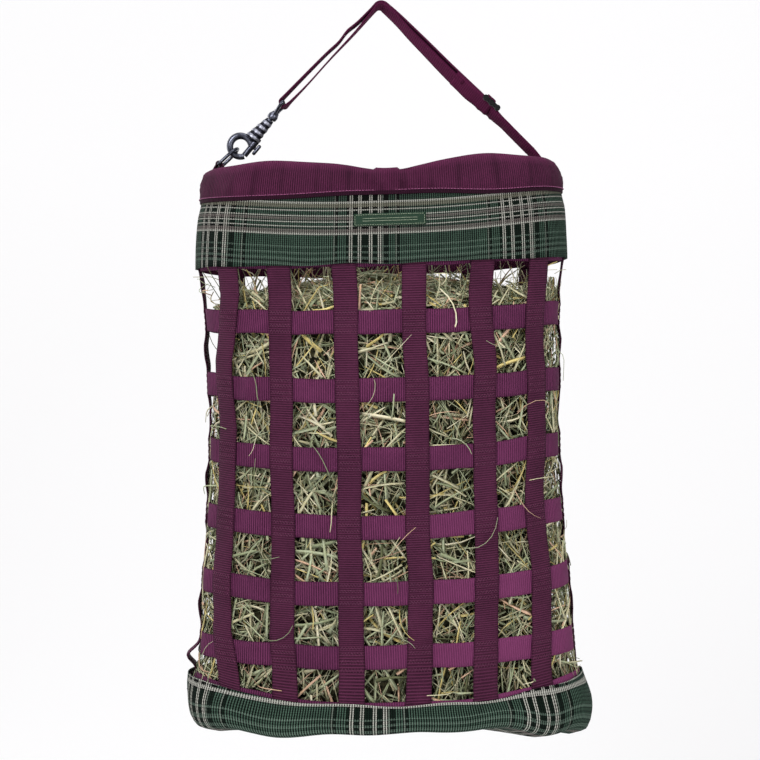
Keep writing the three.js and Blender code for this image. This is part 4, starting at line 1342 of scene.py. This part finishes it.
def snap_hook():
    """The snap's ridged body, its stem, its open ring and the sleeve for the bolt, each bored for it."""
    zs = np.linspace(-52.2, -24.2, 85)
    crests = 0.3 * np.cos((zs - RIDGE_AT) * math.tau / RIDGE)
    ridged = list(zip(4.9 - 0.125 * (zs + 25.5) + crests, zs))
    body = [(0, -54.2), (5.8, -54.2), (7.2, -53.6)] + ridged + [(4.0, -23.4), (0, -23.2)]
    leant = moved(SNAP, (2.0, 0, 0), [(1, 0, 0.08), (0, 1, 0), (0, 0, 1)])
    stem = [(0, -26), (2, -26), (2, -12.2), (3.4, -12.2), (3.4, -11.3), (2.4, -10.4), (0, -10.4)]
    turn = np.radians(np.linspace(50, 329, 60))
    ring = HOOK_MIDDLE + HOOK_ROUND * np.stack([np.cos(turn), 0 * turn, np.sin(turn)], axis=-1)
    thick = HOOK_WIRE + 0.6 * hump(np.degrees(turn), 165, 80)
    parts = [
        turned_piece(body, leant),
        turned_piece(rounded(stem, 0.5), SNAP),
        wire(to_row(ring, SNAP), thick, False, BACK),
        turned_piece(rounded([(0, -61), (4.1, -61), (4.2, -48), (0, -42)], 0.8), BOLT),
    ]
    for part in parts:
        bore = turned_piece([(0, -71), (3.6, -71), (3.6, -39.6), (0, -39.6)], BOLT)
        cut(part, [bore, bolt_slot()])
    return join("snap_hook_body", parts, gunmetal)


def snap_bolt():
    """The snap's sliding bolt: a pin, and a knob on a stem."""
    pin = [(0, -71.8), (3.3, -71.8), (3.3, -47), (0, -47)]
    knob = [(0, -65.2), (1.2, -65.2), (2.0, -63.8), (2.0, -53.4), (1.2, -52), (0, -52)]
    stem = [(0, 2.9), (1.8, 2.9), (1.8, 9.3), (0, 9.3)]
    parts = [
        turned_piece(rounded(pin, 0.7), BOLT),
        turned_piece(rounded(knob, 0.6), moved(SNAP, (9.5, 0, 0)), segments=48),
        turned_piece(stem, moved(SNAP, (0, 0, -58.5)), "x", 48),
    ]
    return join("snap_bolt_pin", parts, gunmetal)


def d_ring():
    """Round wire with a straight bar in the tab, its bow hanging in the snap's ring with a little play."""
    way = to_row([HOOK_MIDDLE], SNAP)[0] - RING_BAR
    far = np.linalg.norm(way)
    way /= far
    play = 2
    reach = far - (HOOK_ROUND - HOOK_WIRE - play - RING_WIRE) - RING_BOW
    turn = np.linspace(0, math.pi, 40)
    bow = [(RING_BOW * math.cos(t), reach + RING_BOW * math.sin(t)) for t in turn]
    corner = [(-15, 1.8), (-14.7, 0.8), (-14.0, 0.2), (-13, 0)]
    low = corner + [(y, 0.0) for y in np.linspace(-10, 10, 5)] + [(-y, z) for y, z in corner[::-1]]
    path = np.array([RING_BAR + way * z + BACK * y for y, z in low + bow])
    return join("steel_d_ring", [wire(path, RING_WIRE, True, np.cross(way, BACK))], gunmetal)


for made, node, body in (
    (snap_eye(), "snap_eye", "handle"),
    (snap_hook(), "snap_hook", "snap_hook"),
    (snap_bolt(), "snap_bolt", "snap_bolt"),
    (d_ring(), "d_ring", "d_ring"),
):
    shade(made)
    fit(made, "dark_steel", body, node)


def ring_tab():
    """Webbing round the ring's bar, both its ends sewn inside the mouth binding."""
    wrap_r = 3.1
    down = np.linspace(RIM_TOP - 9, BINDING_BOTTOM + 4, 12)
    near, far = 0.8, 0.8 + WEB_T + 0.1
    stops = [(binding_inside(-1, z) + near, z, -math.pi / 2) for z in down[::-1]]
    for a in np.linspace(-math.pi / 2 - 0.1, math.pi * 0.62, 20):
        stops.append((RING_BAR[0] + wrap_r * math.sin(a), RING_BAR[2] + wrap_r * math.cos(a), a))
    stops += [(binding_inside(-1, z) + far, z, math.pi / 2) for z in down]
    stations = [np.array([(x, 0, z), heading(a), BACK]) for x, z, a in stops]
    return ribbon("ring_tab_webbing", stations, web_outer)


fit(ring_tab(), "webbing", "bag", "ring_tab")


def slider():
    """A three-bar slider in black plastic: two side plates, two outer bars and a middle one."""
    frame = moved(slider_frame(math.radians(15)), (-4.3, 0, 0))
    outline = [(2.4, -10.8), (2.4, 10.8), (-2.4, 10.8), (-2.4, -10.8)]
    parts = []

    def bar(z, radius, low, high):
        profile = rounded([(0, low), (radius, low), (radius, high), (0, high)], 0.5)
        across = moved(frame, (0, 0, z), [(0, 1, 0), (0, 0, 1), (1, 0, 0)])
        parts.append(turned_piece(profile, across, segments=32, material=nylon))

    for low, high in ((-15.7, -13.3), (13.3, 15.7)):
        rows = [[(x, y, z) for x, z in outline] for y in (low, high)]
        parts.append(skin("plate", to_row(rows, frame), nylon))
        for z in (-8.3, 0, 8.3):
            bar(z, 3.3, low - 0.3, high + 0.3)
    for z, radius in ((-9.4, 1.05), (9.4, 1.05), (0, 1.3)):
        bar(z, radius, -14.5, 14.5)
    return join("nylon_slider", parts, nylon)


glider = slider()
shade(glider)
fit(glider, "black_plastic", "slider", "strap_slider")


# ---- studio
def studio_floor():
    """A pale floor that runs up into a backdrop, its sizes in metres."""
    level, reach, bend, bend_at, high = -1.25, 14.0, 1.4, 1.2, 4.2
    turn = np.linspace(0, math.pi / 2, 14)
    profile = [(-reach, level), (0.5, level)]
    profile += [(bend_at + bend * math.sin(t), level + bend * (1 - math.cos(t))) for t in turn]
    profile.append((bend_at + bend, high))
    points = np.array([(x, y, z) for y, z in profile for x in (-reach, reach)]) / MM
    faces = np.array([(2 * i, 2 * i + 1, 2 * i + 3, 2 * i + 2) for i in range(len(profile) - 1)])
    pale = Surface("studio_paper", roughness=0.9, specular=0.1)
    pale.colour(srgb(150, 150, 150))
    pale.put(pale.shader.inputs["Emission Color"], srgb(251, 250, 251))
    pale.shader.inputs["Emission Strength"].default_value = 0.709
    return make_piece("studio_floor", points, [(faces, 4)], pale.material)


studio_floor()


def soft_light(name, place, target, size, power):
    data = bpy.data.lights.new(name, "AREA")
    data.shape = "RECTANGLE"
    data.size, data.size_y = size
    data.energy = power
    lamp = bpy.data.objects.new(name, data)
    lamp.location = place
    lamp.rotation_euler = (Vector(target) - Vector(place)).to_track_quat("-Z", "Y").to_euler()
    bpy.context.scene.collection.objects.link(lamp)


middle = (0, 0, -0.4)
soft_light("key", (-1.3, -2.6, 1.0), middle, (0.9, 0.9), 65)
soft_light("fill", (1.7, -2.4, 0.2), middle, (1.4, 1.4), 29)
soft_light("top", (0.2, -0.5, 1.6), middle, (1.4, 0.8), 14)
soft_light("rim", (-1.4, 0.7, 0.2), middle, (0.4, 1.4), 10)
soft_light("paper", (0, -0.2, 2.4), (0, 2.2, -0.6), (3.0, 1.0), 16)

scene = bpy.context.scene
world = bpy.data.worlds.new("studio")
world.use_nodes = True
world.node_tree.nodes["Background"].inputs[0].default_value = (0.95, 0.97, 1.0, 1)
world.node_tree.nodes["Background"].inputs[1].default_value = 0.31
scene.world = world
scene.view_settings.view_transform = "Standard"

camera = bpy.data.objects.new("camera", bpy.data.cameras.new("camera"))
camera.data.lens = 86.3
camera.data.sensor_width = 36.0
camera.data.dof.use_dof = False
camera.location = (0.0011, -2.0, -0.4069)
camera.rotation_euler = (math.pi / 2, 0, 0)
camera.data.clip_start, camera.data.clip_end = 0.05, 30
scene.collection.objects.link(camera)
scene.camera = camera
